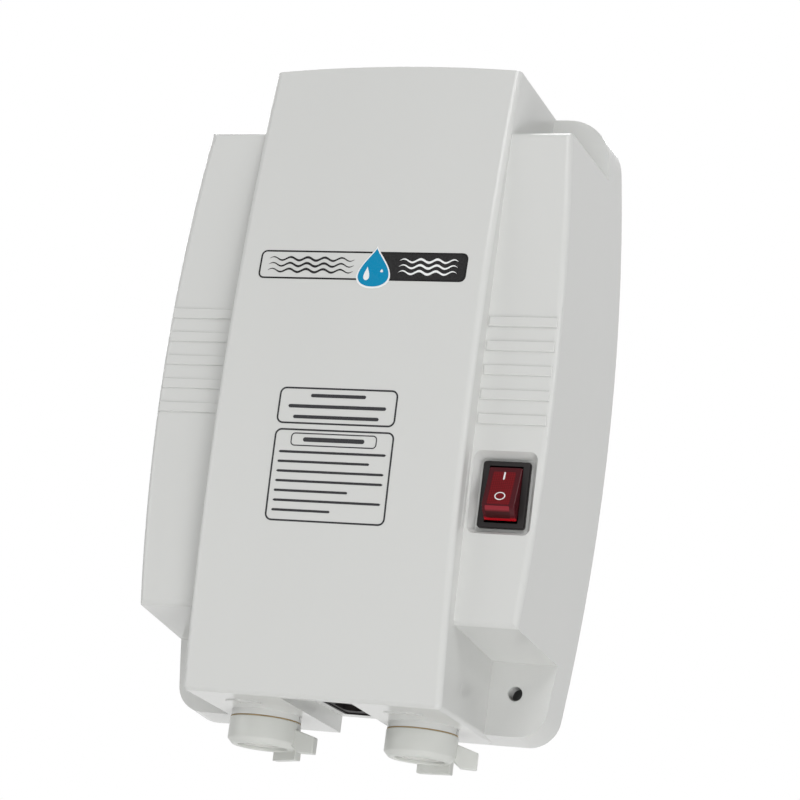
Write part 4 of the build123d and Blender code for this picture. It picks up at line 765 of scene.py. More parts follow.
def surface(
    name: str, points: np.ndarray, around: bool = False, along: bool = False, sharp: float = 35.0
) -> bpy.types.Object:
    """Makes a mesh from a grid of points.

    Point (i, j) is joined to (i + 1, j) and (i, j + 1), so the grid is a function of two
    parameters. Points that meet, as at a pole or a seam, become one.

    Args:
        name: Name of the piece.
        points: Array of rows by columns by three, in millimetres.
        around: Whether the last column joins the first.
        along: Whether the last row joins the first.
        sharp: Angle in degrees above which an edge stays sharp.

    Returns:
        The piece, at the origin and with its faces outwards.
    """
    rows, columns = points.shape[:2]
    index = np.arange(rows * columns).reshape(rows, columns)
    if around:
        index = np.hstack([index, index[:, :1]])
    if along:
        index = np.vstack([index, index[:1]])
    corners = (index[:-1, :-1], index[:-1, 1:], index[1:, 1:], index[1:, :-1])
    quads = np.stack(corners, axis=-1).reshape(-1, 4)
    mesh = bpy.data.meshes.new(name)
    mesh.from_pydata(mm(points.reshape(-1, 3)), [], quads.tolist())
    work = bmesh.new()
    work.from_mesh(mesh)
    bmesh.ops.remove_doubles(work, verts=work.verts, dist=mm(WELD))
    bmesh.ops.recalc_face_normals(work, faces=work.faces)
    work.to_mesh(mesh)
    work.free()
    mesh.polygons.foreach_set("use_smooth", np.ones(len(mesh.polygons), dtype=bool))
    mesh.set_sharp_from_angle(angle=math.radians(sharp))
    piece = bpy.data.objects.new(name, mesh)
    bpy.context.scene.collection.objects.link(piece)
    return piece


def settle(piece: bpy.types.Object, paint: Paint, finish: str, body: Body) -> None:
    """Dresses a new piece and lets it ride on its body.

    Args:
        piece: The new piece.
        paint: The finishes.
        finish: Name in FINISHES.
        body: Body that carries the piece.
    """
    paint.dress(piece, finish)
    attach(piece, body.value)
    LOG.info("made %s on %s", piece.name, body.value)


def full_turn(count: int) -> np.ndarray:
    """Gives a number of angles, evenly spread over one full turn."""
    return np.linspace(0.0, 2 * math.pi, count, endpoint=False)


def resample(outline: np.ndarray, count: int) -> np.ndarray:
    """Spreads points evenly round a closed outline.

    A point's place is read from the outline's running length, so it lies on a side.

    Args:
        outline: Corner points, two values each.
        count: Number of points wanted.

    Returns:
        Array of count by two.
    """
    closed = np.vstack([outline, outline[:1]])
    steps = np.hypot(*np.diff(closed, axis=0).T)
    run = np.concatenate([[0.0], np.cumsum(steps)])
    wanted = np.linspace(0.0, run[-1], count, endpoint=False)
    return np.stack([np.interp(wanted, run, closed[:, 0]), np.interp(wanted, run, closed[:, 1])], axis=-1)


def rounded_box(centre: Pair, size: Pair, radius: float) -> np.ndarray:
    """Outline of a rectangle with round corners.

    Each corner is a quarter circle about a centre set in by the radius.

    Args:
        centre: Middle of the rectangle.
        size: Width and height.
        radius: Radius of the corners.

    Returns:
        Points round the outline, two values each.
    """
    turn = np.linspace(0.0, math.pi / 2, CORNER_STEPS)
    angles = (turn[None, :] + np.arange(4)[:, None] * math.pi / 2).ravel()
    signs = np.array([[1, 1], [-1, 1], [-1, -1], [1, -1]], dtype=float).repeat(len(turn), axis=0)
    inner = np.array(size) / 2 - radius
    return np.array(centre) + signs * inner + radius * np.stack([np.cos(angles), np.sin(angles)], axis=-1)


def drop_outline(centre: Pair, size: Pair, count: int = 96, point: float = 1.6) -> np.ndarray:
    """Outline of a falling drop.

    With t round the outline, the half width is sin t times a power of the sine of
    half t, and the height is cos t, so the tip at t = 0 is pointed.

    Args:
        centre: Middle of the drop.
        size: Full width and height.
        count: Number of points.
        point: The power, larger for a longer point.

    Returns:
        Points round the outline, two values each.
    """
    turn = full_turn(count)
    across = np.sin(turn) * np.abs(np.sin(turn / 2)) ** point
    across = across / np.abs(across).max()
    return np.array(centre) + np.stack([across, np.cos(turn)], axis=-1) * np.array(size) / 2


@dataclass(frozen=True)
class RoundPlate:
    """Flat rectangle with round corners, by its middle, full size and corner radius."""

    centre: Pair
    size: Pair
    radius: float

    def outline(self, count: int) -> np.ndarray:
        """Gives a number of points, evenly spread round the plate."""
        return resample(rounded_box(self.centre, self.size, self.radius), count)


@dataclass(frozen=True)
class BowedFront:
    """Front face of the centre box: straight across, and an arc of a circle up and down."""

    half_height: float = 105.9
    top_depth: float = 58.0
    middle_depth: float = 70.0
    low_depth: float = 63.0

    def depth(self, height: np.ndarray) -> np.ndarray:
        """Depth of the face at some heights.

        The circle goes through the top, middle and low points. Its centre lies where
        it is as far from all three, and the depth is the centre's plus the leg that
        the radius leaves.

        Args:
            height: Heights in millimetres.

        Returns:
            Distances out from the wall in millimetres.
        """
        rows = np.array([
            [2 * (self.top_depth - self.middle_depth), 2 * self.half_height],
            [2 * (self.low_depth - self.middle_depth), -2 * self.half_height],
        ])
        sides = np.array([
            self.top_depth**2 + self.half_height**2 - self.middle_depth**2,
            self.low_depth**2 + self.half_height**2 - self.middle_depth**2,
        ])
        centre_depth, centre_height = np.linalg.solve(rows, sides)
        radius = math.hypot(self.middle_depth - centre_depth, centre_height)
        return centre_depth + np.sqrt(radius**2 - (height - centre_height) ** 2)

    def lay(self, outline: np.ndarray, lift: float) -> np.ndarray:
        """Gives flat points, known by X and Z, the Y of the face, less the lift."""
        return np.stack([outline[..., 0], -self.depth(outline[..., 1]) - lift, outline[..., 1]], axis=-1)


@dataclass(frozen=True)
class DropLayer:
    """One printed layer of the water drop, placed from the drop's middle."""

    name: str
    finish: str
    level: int
    shift: Pair
    size: Pair


@dataclass
class FrontPrints:
    """Printed marks on the bowed front: the band with its drop, and two ruled panels."""

    paint: Paint
    front: BowedFront = BowedFront()
    lift: float = 0.05
    buried: float = 0.3
    rings: int = 9
    line: float = 0.55
    band: RoundPlate = RoundPlate((0.4, 33.1), (68.6, 9.7), 1.9)
    band_points: int = 240
    dark_trim: float = 0.2
    wave_rows: tuple[float, ...] = (2.0, 0.0, -2.0)
    wave_points: int = 121
    wave_swing: float = 0.55
    wave_width: float = 0.8
    wave_tip: float = 0.002
    wave_margin: float = 3.0
    black_crests: float = 5.0
    white_crests: float = 3.5
    drop_margin: Pair = (7.0, 8.0)
    drop_centre: Pair = (4.6, 32.7)
    drop_layers: tuple[DropLayer, ...] = (
        DropLayer("drop_rim", "ink_white", level=3, shift=(0.0, 0.0), size=(11.1, 14.4)),
        DropLayer("drop_body", "ink_blue", level=4, shift=(0.0, -0.1), size=(10.1, 13.0)),
        DropLayer("drop_shine", "ink_white", level=5, shift=(-2.2, -2.2), size=(1.9, 4.6)),
        DropLayer("drop_spark", "ink_white", level=5, shift=(2.6, -1.2), size=(0.9, 1.1)),
    )
    panel_points: int = 320
    small_panel: RoundPlate = RoundPlate((-0.9, -13.5), (38.7, 11.8), 2.2)
    small_bars: tuple[Pair, ...] = ((3.3, 18.0), (-0.2, 32.0), (-3.6, 28.0))
    small_bar_width: float = 1.1
    large_panel: RoundPlate = RoundPlate((-0.6, -35.5), (38.9, 29.1), 2.2)
    title_rise: float = 11.2
    title_size: Pair = (28.0, 4.2)
    title_radius: float = 1.3
    title_points: int = 160
    title_line: float = 0.35
    title_bar: Pair = (20.0, 1.4)
    rule_lengths: tuple[float, ...] = (35.0, 30.0, 35.0, 35.0, 24.0, 35.0, 19.0)
    rule_rise: float = 7.2
    rule_pitch: float = 3.05
    rule_width: float = 0.75
    bar_points: int = 96
    bar_roundness: float = 0.45

    def plate(self, name: str, outline: np.ndarray, finish: str, level: int = 1) -> None:
        """Fills an outline with a thin printed skin.

        A point is the middle plus a share of the way to the outline, and its depth
        comes from the face, so the skin bends with it.

        Args:
            name: Name of the piece.
            outline: Points round the mark, seen from its middle without overlap.
            finish: Name in FINISHES.
            level: How many skins thick the mark stands proud.
        """
        middle = (outline.max(axis=0) + outline.min(axis=0)) / 2
        share = np.linspace(0.0, 1.0, self.rings)[:, None, None]
        flat = middle + (outline - middle) * share
        top = self.front.lay(flat[::-1], self.lift * level)
        under = self.front.lay(flat, -self.buried)
        skin = surface(name, np.concatenate([under, top]), around=True)
        settle(skin, self.paint, finish, Body.HOUSING)

    def border(self, name: str, outline: np.ndarray, width: float, finish: str) -> None:
        """Draws a line round an outline.

        The line runs from the outline inwards by its width, square to the outline.

        Args:
            name: Name of the piece.
            outline: Points round the outside, running anticlockwise.
            width: Width of the line.
            finish: Name in FINISHES.
        """
        along = np.roll(outline, -1, axis=0) - np.roll(outline, 1, axis=0)
        along = along / np.hypot(along[:, 0], along[:, 1])[:, None]
        inner = outline + np.stack([-along[:, 1], along[:, 0]], axis=-1) * width
        loops = [
            self.front.lay(inner, -self.buried),
            self.front.lay(outline, -self.buried),
            self.front.lay(outline, self.lift),
            self.front.lay(inner, self.lift),
        ]
        line = surface(name, np.stack(loops), around=True, along=True)
        settle(line, self.paint, finish, Body.HOUSING)

    def wave(self, name: str, start: Pair, length: float, crests: float, finish: str, level: int) -> None:
        """Draws a wavy line that thins out towards both ends.

        The line's middle rises by the swing times the sine of its turns, and its half
        width follows the square root of a half sine.

        Args:
            name: Name of the piece.
            start: Left end of the line.
            length: Length along X.
            crests: Number of crests.
            finish: Name in FINISHES.
            level: How many skins thick the line stands proud.
        """
        share = np.linspace(0.0, 1.0, self.wave_points)
        middle = start[1] + self.wave_swing * np.sin(share * crests * 2 * math.pi)
        open_share = np.clip(share, self.wave_tip, 1.0 - self.wave_tip)
        half = self.wave_width / 2 * np.sqrt(np.sin(open_share * math.pi))
        across = start[0] + share * length
        low = np.stack([across, middle - half], axis=-1)
        high = np.stack([across, middle + half], axis=-1)
        loops = np.stack([
            self.front.lay(high, -self.buried),
            self.front.lay(low, -self.buried),
            self.front.lay(low, self.lift * level),
            self.front.lay(high, self.lift * level),
            self.front.lay(high, -self.buried),
        ])
        first = loops[:, :1].mean(axis=0, keepdims=True).repeat(len(loops), axis=0)
        last = loops[:, -1:].mean(axis=0, keepdims=True).repeat(len(loops), axis=0)
        line = surface(name, np.concatenate([first, loops, last], axis=1))
        settle(line, self.paint, finish, Body.HOUSING)

    def build_band(self) -> None:
        """Makes the band: an outline on the left and a black half on the right, with waves."""
        self.border("band_outline", self.band.outline(self.band_points), self.line, "ink_black")
        middle, height = self.band.centre
        length, width = self.band.size
        left, right = middle - length / 2, middle + length / 2
        edge = self.drop_centre[0]
        dark_size = (right - edge, width - self.dark_trim)
        dark = RoundPlate(((edge + right) / 2, height), dark_size, self.band.radius)
        self.plate("band_dark_half", dark.outline(self.band_points), "ink_black")
        near, far = edge - self.drop_margin[0], edge + self.drop_margin[1]
        halves = (
            ("band_wave", left + self.wave_margin, near, self.black_crests, "ink_black", 1),
            ("band_pale_wave", far, right - self.wave_margin, self.white_crests, "ink_white", 2),
        )
        for row, rise in enumerate(self.wave_rows):
            for name, start, end, crests, finish, level in halves:
                self.wave(f"{name}_{row}", (start, height + rise), end - start, crests, finish, level)

    def build_drop(self) -> None:
        """Makes the water drop with its pale rim, blue body and two highlights."""
        for layer in self.drop_layers:
            centre = (self.drop_centre[0] + layer.shift[0], self.drop_centre[1] + layer.shift[1])
            self.plate(layer.name, drop_outline(centre, layer.size), layer.finish, layer.level)

    def bars(self, name: str, rows: list[Triple], width: float) -> None:
        """Rules plain bars, one for each row.

        Args:
            name: Start of the pieces' names.
            rows: Middle X, Z and length of each bar.
            width: Width of a bar.
        """
        for index, (across, height, length) in enumerate(rows):
            bar = RoundPlate((across, height), (length, width), width * self.bar_roundness)
            self.plate(f"{name}_{index}", bar.outline(self.bar_points), "ink_grey")

    def build_panel_lines(self) -> None:
        """Makes the lines round the two panels."""
        for name, panel in (("small_panel", self.small_panel), ("large_panel", self.large_panel)):
            self.border(f"{name}_outline", panel.outline(self.panel_points), self.line, "ink_grey")

    def build_small_rows(self) -> None:
        """Makes the three centred bars of the upper panel."""
        across, height = self.small_panel.centre
        rows = [(across, height + rise, length) for rise, length in self.small_bars]
        self.bars("small_bar", rows, self.small_bar_width)

    def build_title(self) -> None:
        """Makes the framed title bar of the lower panel."""
        across, height = self.large_panel.centre
        title = RoundPlate((across, height + self.title_rise), self.title_size, self.title_radius)
        self.border("title_outline", title.outline(self.title_points), self.title_line, "ink_grey")
        length, width = self.title_bar
        self.bars("title_bar", [(*title.centre, length)], width)

    def build_large_rows(self) -> None:
        """Makes the ruled bars of the lower panel, which all start at its left."""
        across, height = self.large_panel.centre
        longest = max(self.rule_lengths)
        rows = [
            (across - (longest - length) / 2, height + self.rule_rise - self.rule_pitch * row, length)
            for row, length in enumerate(self.rule_lengths)
        ]
        self.bars("large_bar", rows, self.rule_width)

    def build(self) -> None:
        """Makes every printed mark."""
        self.build_band()
        self.build_drop()
        self.build_panel_lines()
        self.build_small_rows()
        self.build_title()
        self.build_large_rows()


def turned(points: np.ndarray, centre: Pair, degrees: float) -> np.ndarray:
    """Turns points about an upright axis.

    Args:
        points: Points with X, Y and Z.
        centre: X and Y of the axis.
        degrees: Angle, anticlockwise from above.

    Returns:
        The turned points.
    """
    angle = math.radians(degrees)
    across, back = points[..., 0] - centre[0], points[..., 1] - centre[1]
    return np.stack([
        centre[0] + across * math.cos(angle) - back * math.sin(angle),
        centre[1] + across * math.sin(angle) + back * math.cos(angle),
        points[..., 2],
    ], axis=-1)


def lathe(name: str, centre: Pair, profile: np.ndarray, count: int = 128) -> bpy.types.Object:
    """Turns a profile about an upright axis.

    A point is the centre plus the profile's radius times the cosine and sine of the
    turn, at the profile's height.

    Args:
        name: Name of the piece.
        centre: X and Y of the axis.
        profile: Radius and Z of each point.
        count: Number of steps round the axis.

    Returns:
        The turned piece.
    """
    turn = full_turn(count)
    radius, height = profile[:, 0][:, None], profile[:, 1][:, None]
    return surface(name, np.stack([
        centre[0] + radius * np.cos(turn),
        centre[1] + radius * np.sin(turn),
        height + np.zeros_like(turn),
    ], axis=-1), around=True)


def soften(piece: bpy.types.Object, width: float, segments: int = 3, angle: float = 25.0) -> None:
    """Rounds a piece's sharp edges with a bevel modifier.

    Args:
        piece: Piece with clean edges.
        width: Width of the rounding in millimetres.
        segments: Number of strips across the rounding.
        angle: Angle in degrees above which an edge is rounded.
    """
    bevel = piece.modifiers.new("soft_edges", "BEVEL")
    bevel.width = mm(width)
    bevel.segments = segments
    bevel.limit_method = "ANGLE"
    bevel.angle_limit = math.radians(angle)


def stacked(loops: list[tuple[np.ndarray, float]]) -> np.ndarray:
    """Sets flat loops, each known by X and Y, at their heights, and stacks them into one grid."""
    return np.stack([np.column_stack([loop, np.full(len(loop), height)]) for loop, height in loops])


def prism(
    name: str, outline: np.ndarray, low: float, high: float, hub: Pair | None = None
) -> bpy.types.Object:
    """Makes an upright prism, closed by a fan to one point of each end.

    Args:
        name: Name of the piece.
        outline: X and Y of the corners.
        low: Z of the lower end.
        high: Z of the upper end.
        hub: Point that sees every corner, or nothing for the corners' mean.

    Returns:
        The prism.
    """
    middle = np.broadcast_to(outline.mean(axis=0) if hub is None else np.array(hub), outline.shape)
    loops = [(middle, low), (outline, low), (outline, high), (middle, high)]
    return surface(name, stacked(loops), around=True)


@dataclass
class Rocker:
    """Red rocker with its prism panel, marks and side pins, resting on the upper end."""

    paint: Paint
    centre: float = 52.2
    pivot_depth: float = 57.3
    pivot_height: float = -36.1
    tilt: float = 20.0
    half_width: float = 5.15
    end_radius: float = 8.75
    crown: float = 5.5
    belly: float = 3.4
    edge: float = 0.5
    edge_steps: int = 6
    end_steps: int = 12
    belly_steps: int = 16
    dish: float = 0.12
    pin_radius: float = 1.0
    pin_reach: float = 5.9
    pin_root: float = 0.3
    pin_tip: Pair = (0.8, 0.9)
    pin_steps: int = 32
    panel: RoundPlate = RoundPlate((-0.1, -0.65), (7.1, 11.8), 0.3)
    # Plate of painted glow over painted shade on the lower end, by across and distance along the end.
    glow: RoundPlate = RoundPlate((-0.3, 3.45), (7.6, 4.5), 0.3)
    bar: RoundPlate = RoundPlate((0.0, 3.85), (0.5, 2.7), 0.2)
    ring_up: float = -3.5
    ring_outer: Pair = (1.68, 1.45)
    ring_inner: Pair = (1.35, 1.12)
    ring_points: int = 64
    plate_points: int = 72
    plate_rings: int = 9
    plate_lift: float = 0.02
    ink_lift: float = 0.05
    root: float = 0.15

    @property
    def face_half(self) -> float:
        """Half length of the face, up to where the end arcs begin."""
        return math.sqrt(self.end_radius**2 - self.crown**2)

    def place(self, across: np.ndarray, up: np.ndarray, out: np.ndarray) -> np.ndarray:
        """Turns points of the rocker's own face into the pump's frame.

        The pivot is the origin, and the face is tipped back at its upper end.

        Args:
            across: Distances to the right of the middle.
            up: Distances along the face, upwards.
            out: Distances out of the face.

        Returns:
            Points with X, Y and Z.
        """
        angle = math.radians(self.tilt)
        depth = out * math.cos(angle) - up * math.sin(angle)
        height = up * math.cos(angle) + out * math.sin(angle)
        places = (self.centre + across, -self.pivot_depth - depth, self.pivot_height + height)
        return np.stack(places, axis=-1)

    def profile(self, count: int = 33) -> np.ndarray:
        """Side view of the rocker, anticlockwise from the lower end of its face.

        The face is a shallow dish, each end is an arc about the pivot, and the belly
        is a half circle.

        Args:
            count: Points along the face.

        Returns:
            Up and out of each point.
        """
        along = np.linspace(-1.0, 1.0, count)
        face = np.stack([along * self.face_half, self.crown - self.dish * (1.0 - along**2)], axis=-1)
        rise = np.linspace(math.asin(self.crown / self.end_radius), 0.0, self.end_steps)[1:]
        upper = np.stack([np.cos(rise), np.sin(rise)], axis=-1) * self.end_radius
        sweep = np.linspace(0.0, -math.pi, self.belly_steps)
        under = np.stack([np.cos(sweep), np.sin(sweep)], axis=-1) * self.belly
        lower = upper[::-1] * (-1.0, 1.0)
        return np.concatenate([face, upper, under, lower])

    def build_body(self) -> None:
        """Makes the moulded body. Its side view shrinks over the rounded side edges."""
        side = self.profile()
        middle = np.array([0.0, self.crown / 2])
        turn = np.linspace(0.0, math.pi / 2, self.edge_steps)[::-1]
        places = -self.half_width + self.edge * (1.0 - np.sin(turn))
        taper = 1.0 - self.edge * (1.0 - np.cos(turn)) / self.end_radius
        columns = np.concatenate([[places[0]], places, -places[::-1], [-places[0]]])
        shrink = np.concatenate([[0.0], taper, taper[::-1], [0.0]])
        points = middle + (side - middle) * shrink[:, None, None]
        across = np.broadcast_to(columns[:, None], points.shape[:2])
        body = surface("rocker_body", self.place(across, points[..., 0], points[..., 1]), around=True)
        settle(body, self.paint, "rocker_red", Body.ROCKER)
        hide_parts("switch_rocker")

    def build_pins(self) -> None:
        """Makes the pins that the rocker turns on, one each side.

        A row of a pin is a circle in the rocker's side view, at a share of the pin's length.
        """
        turn = full_turn(self.pin_steps)
        tip_radius, tip_start = self.pin_radius * self.pin_tip[0], self.pin_tip[1]
        rows = np.array([
            (0.0, 0.0), (self.pin_radius, 0.0), (self.pin_radius, tip_start), (tip_radius, 1.0), (0.0, 1.0)
        ])
        radius, share = rows[:, :1], rows[:, 1:]
        reach = self.half_width - self.pin_root + share * (self.pin_reach - self.half_width + self.pin_root)
        for name, sign in (("left", -1.0), ("right", 1.0)):
            across = np.broadcast_to(sign * reach, (len(rows), len(turn)))
            grid = self.place(across, radius * np.cos(turn), radius * np.sin(turn))
            pin = surface(f"rocker_pin_{name}", grid, around=True)
            settle(pin, self.paint, "rocker_red", Body.ROCKER)

    def lay_face(self, rows: np.ndarray, lift: float) -> np.ndarray:
        """Lays points, known by across and up, on the dished face, raised by the lift."""
        out = self.crown - self.dish * (1.0 - (rows[..., 1] / self.face_half) ** 2)
        return self.place(rows[..., 0], rows[..., 1], out + lift)

    def lay_end(self, rows: np.ndarray, lift: float) -> np.ndarray:
        """Lays points on the lower end, an arc about the pivot.

        Args:
            rows: Across, and distance along the arc from its lowest point.
            lift: Height above the end.

        Returns:
            Points with X, Y and Z.
        """
        angle = rows[..., 1] / self.end_radius
        radius = self.end_radius + lift
        return self.place(rows[..., 0], -radius * np.cos(angle), radius * np.sin(angle))

    def skin_plate(self, name: str, rows: np.ndarray, finish: str, lift: float, lay: Lay) -> None:
        """Lays loops, from the inside outwards, as a thin closed skin on the rocker's face or end."""
        grid = np.concatenate([lay(rows, lift), lay(rows, -self.root)[::-1]])
        settle(surface(name, grid, around=True, along=True), self.paint, finish, Body.ROCKER)

    def fill(self, plate: RoundPlate) -> np.ndarray:
        """Fills a plate with loops, from its middle outwards.

        A point is the middle plus a share of the way to the plate's outline.

        Args:
            plate: The plate, across and up on the rocker.

        Returns:
            Array of loops by points by two.
        """
        share = np.linspace(0.0, 1.0, self.plate_rings)[:, None, None]
        middle = np.array(plate.centre)
        return middle + (plate.outline(self.plate_points) - middle) * share

    def build_marks(self) -> None:
        """Makes the prism panel, the lower end's plate of painted glow and painted shade, and the white bar
        and ring for on and off.
        """
        self.skin_plate("rocker_panel", self.fill(self.panel), "rocker_panel", self.plate_lift, self.lay_face)
        # The lower end's plate carries painted light from inner reflection, with painted shade at its bottom.
        self.skin_plate("rocker_glow", self.fill(self.glow), "rocker_glow", self.plate_lift, self.lay_end)
        self.skin_plate("rocker_bar", self.fill(self.bar), "ink_white", self.ink_lift, self.lay_face)
        turn = full_turn(self.ring_points)
        circle = np.stack([np.cos(turn), np.sin(turn)], axis=-1)
        ring = np.stack([circle * self.ring_inner, circle * self.ring_outer]) + (0.0, self.ring_up)
        self.skin_plate("rocker_ring", ring, "ink_white", self.ink_lift, self.lay_face)

    def build(self) -> None:
        """Makes the rocker."""
        self.build_body()
        self.build_pins()
        self.build_marks()


@dataclass
class Port:
    """One port: its lock ring with a lug and a wing, a brownish ring of painted shade in the gap above it,
    and its arrow.
    """

    paint: Paint
    side: Side
    turn: float
    reach: float = 26.0
    depth: float = 29.0
    ring_top: float = -105.8
    ring_bottom: float = -114.2
    ring_radius: float = 11.3
    bore: float = 7.95
    inner_bore: float = 8.65
    lip_top: float = -111.4
    bevel: float = 1.6
    bevel_ease: Pair = (0.1, 0.3)
    bore_bevel: float = 0.25
    round_edge: float = 0.35
    round_steps: int = 7
    lug_offset: float = 8.6
    lug_thickness: float = 2.4
    lug_width: float = 12.0
    lug_drop: float = 2.6
    lug_turn: float = 60.0
    lug_round: float = 0.3
    wing_reach: float = 18.0
    wing_thickness: float = 3.2
    wing_top: float = 4.2
    wing_slope: float = 2.4
    wing_drop: float = 1.0
    wing_bite: float = 1.6
    wing_round: float = 0.35
    # Sizes of the ring of painted gap shade between the collar and the lock ring.
    seam_gap: float = 0.2
    seam_inset: float = 0.25
    seam_bulge: float = 0.15
    seam_rises: Triple = (0.02, 0.15, 0.34)
    arrow_depth: float = 50.5
    arrow_base: float = -103.22
    arrow_rise: float = 0.35
    arrow_root: float = 0.5
    arrow_half: float = 6.0
    arrow_neck: float = 1.5
    arrow_hub: float = 1.7
    arrow_shaft: float = 0.8
    arrow_head: float = 2.4
    arrow_points: int = 140

    @property
    def centre(self) -> Pair:
        """X and Y of the port's axis."""
        return (self.side.sign * self.reach, -self.depth)

    @property
    def label(self) -> str:
        """Side's name in lower case, as the CAD nodes have it."""
        return self.side.name.lower()

    def build_ring(self) -> None:
        """Turns the ring, with a bevelled foot, a rounded shoulder and a stepped bore."""
        quarter = np.linspace(0.0, math.pi / 2, self.round_steps)
        top = np.stack([
            self.ring_radius - self.round_edge * (1.0 - np.sin(quarter)),
            self.ring_top - self.round_edge * (1.0 - np.cos(quarter)),
        ], axis=-1)
        near, far = self.bevel_ease
        foot = np.array([
            (self.ring_radius, self.ring_bottom + self.bevel + far),
            (self.ring_radius - near, self.ring_bottom + self.bevel),
            (self.ring_radius - self.bevel, self.ring_bottom + near),
            (self.ring_radius - self.bevel - far, self.ring_bottom),
            (self.bore + self.bore_bevel, self.ring_bottom),
            (self.bore, self.ring_bottom + self.bore_bevel),
            (self.bore, self.lip_top),
            (self.inner_bore, self.lip_top),
            (self.inner_bore, self.ring_top),
        ])
        profile = np.concatenate([top, foot, top[:1]])
        ring = lathe(f"ring_{self.label}", self.centre, profile)
        settle(ring, self.paint, "ring_white", self.side.ring_body)
        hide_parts(f"lock_ring_{self.label}")

    def build_lug(self) -> None:
        """Makes the flat lug that hangs below the ring."""
        near, far, half = self.lug_offset, self.lug_offset + self.lug_thickness, self.lug_width / 2
        corners = np.array([(near, -half), (far, -half), (far, half), (near, half)])
        low, high = self.ring_bottom - self.lug_drop, self.ring_bottom + self.bevel
        lug = prism(f"ring_lug_{self.label}", self.turn_out(corners, self.lug_turn), low, high)
        soften(lug, self.lug_round)
        settle(lug, self.paint, "ring_white", self.side.ring_body)

    def turn_out(self, outline: np.ndarray, extra: float = 0.0) -> np.ndarray:
        """Turns a flat outline about the port's axis, by the ring's turn and some extra degrees."""
        flat = np.column_stack([outline + np.array(self.centre), np.zeros(len(outline))])
        return turned(flat, self.centre, self.turn + extra)[:, :2]

    def build_wing(self) -> None:
        """Makes the wing that turns the ring, as a side view given a thickness."""
        side = np.array([
            (self.ring_radius - self.wing_bite, self.ring_top - self.wing_top + self.wing_slope),
            (self.wing_reach, self.ring_top - self.wing_top),
            (self.wing_reach, self.ring_bottom - self.wing_drop),
            (self.ring_radius + self.wing_bite, self.ring_bottom - self.wing_drop),
            (self.ring_radius - self.wing_bite, self.ring_bottom + self.bevel),
        ])
        middle = np.broadcast_to(side.mean(axis=0), side.shape)
        half = self.wing_thickness / 2
        x, y = self.centre
        grid = np.stack([
            np.column_stack([x + loop[:, 0], np.full(len(loop), y + back), loop[:, 1]])
            for loop, back in ((middle, -half), (side, -half), (side, half), (middle, half))
        ])
        wing = surface(f"ring_wing_{self.label}", turned(grid, self.centre, self.turn), around=True)
        soften(wing, self.wing_round)
        settle(wing, self.paint, "ring_white", self.side.ring_body)

    def build_gap_shade(self) -> None:
        """Makes a thin brownish ring of painted shade in the gap between the collar and the ring."""
        inner = self.inner_bore + self.seam_gap
        outer, crest = self.ring_radius - self.seam_inset, self.ring_radius - self.seam_bulge
        low, middle, high = (self.ring_top + rise for rise in self.seam_rises)
        profile = np.array([
            (inner, low), (outer, low), (crest, middle), (outer, high), (inner, high), (inner, low)
        ])
        gap_shade = lathe(f"port_seam_{self.label}", self.centre, profile)
        settle(gap_shade, self.paint, "seam_brown", self.side.ring_body)

    def build_arrow(self) -> None:
        """Raises a plain arrow on the underside in front of the port, pointing outwards."""
        half, neck, shaft, head = self.arrow_half, self.arrow_neck, self.arrow_shaft, self.arrow_head
        corners = np.array([
            (-half, -shaft), (neck, -shaft), (neck, -head), (half, 0.0),
            (neck, head), (neck, shaft), (-half, shaft),
        ])
        way, x = self.side.sign, self.centre[0]
        outline = resample(corners * way, self.arrow_points) + np.array([x, -self.arrow_depth])
        hub = (x + way * self.arrow_hub, -self.arrow_depth)
        low, high = self.arrow_base - self.arrow_rise, self.arrow_base + self.arrow_root
        arrow = prism(f"port_arrow_{self.label}", outline, low, high, hub)
        settle(arrow, self.paint, "housing_white", Body.HOUSING)

    def build(self) -> None:
        """Makes the port's pieces."""
        self.build_ring()
        self.build_lug()
        self.build_wing()
        self.build_gap_shade()
        self.build_arrow()


@dataclass
class Underside:
    """Small pieces low on the housing: the inlet's black frame and a round mould mark."""

    paint: Paint
    frame_outside: RoundPlate = RoundPlate((0.4, -26.9), (11.2, 25.4), 0.6)
    frame_inside: RoundPlate = RoundPlate((0.0, -26.5), (8.7, 22.9), 0.8)
    frame_points: int = 120
    frame_bottom: float = -99.5
    frame_top: float = -98.9
    mark_place: Triple = (41.85, -43.9, -93.7)
    mark_radius: float = 2.35
    mark_width: float = 0.3
    mark_rise: float = 0.08
    mark_slope: float = 0.1
    mark_root: float = 0.3
    mark_steps: int = 72

    def build_frame(self) -> None:
        """Makes the thin frame round the power inlet, a flat ring between two rounded boxes."""
        outer = self.frame_outside.outline(self.frame_points)
        inner = self.frame_inside.outline(self.frame_points)
        low, high = self.frame_bottom, self.frame_top
        loops = stacked([(outer, low), (inner, low), (inner, high), (outer, high)])
        rim = surface("inlet_frame", loops, around=True, along=True)
        settle(rim, self.paint, "inlet_black", Body.HOUSING)

    def build_mark(self) -> None:
        """Raises a low ring on the box's right wall, as a section turned about X."""
        x, y, z = self.mark_place
        outer, inner = self.mark_radius, self.mark_radius - self.mark_width
        foot, slope, root = inner - self.mark_slope, self.mark_slope, -self.mark_root
        section = np.array([
            (outer, root), (outer, 0.0), (outer - slope, self.mark_rise),
            (inner, self.mark_rise), (foot, 0.0), (foot, root), (outer, root),
        ])
        turn = full_turn(self.mark_steps)
        radius, rise = section[:, 0][:, None], section[:, 1][:, None]
        grid = np.stack([
            x + rise + np.zeros_like(turn), y + radius * np.cos(turn), z + radius * np.sin(turn)
        ], axis=-1)
        mark = surface("mould_mark", grid, around=True)
        settle(mark, self.paint, "housing_white", Body.HOUSING)

    def build(self) -> None:
        """Makes both pieces."""
        self.build_frame()
        self.build_mark()


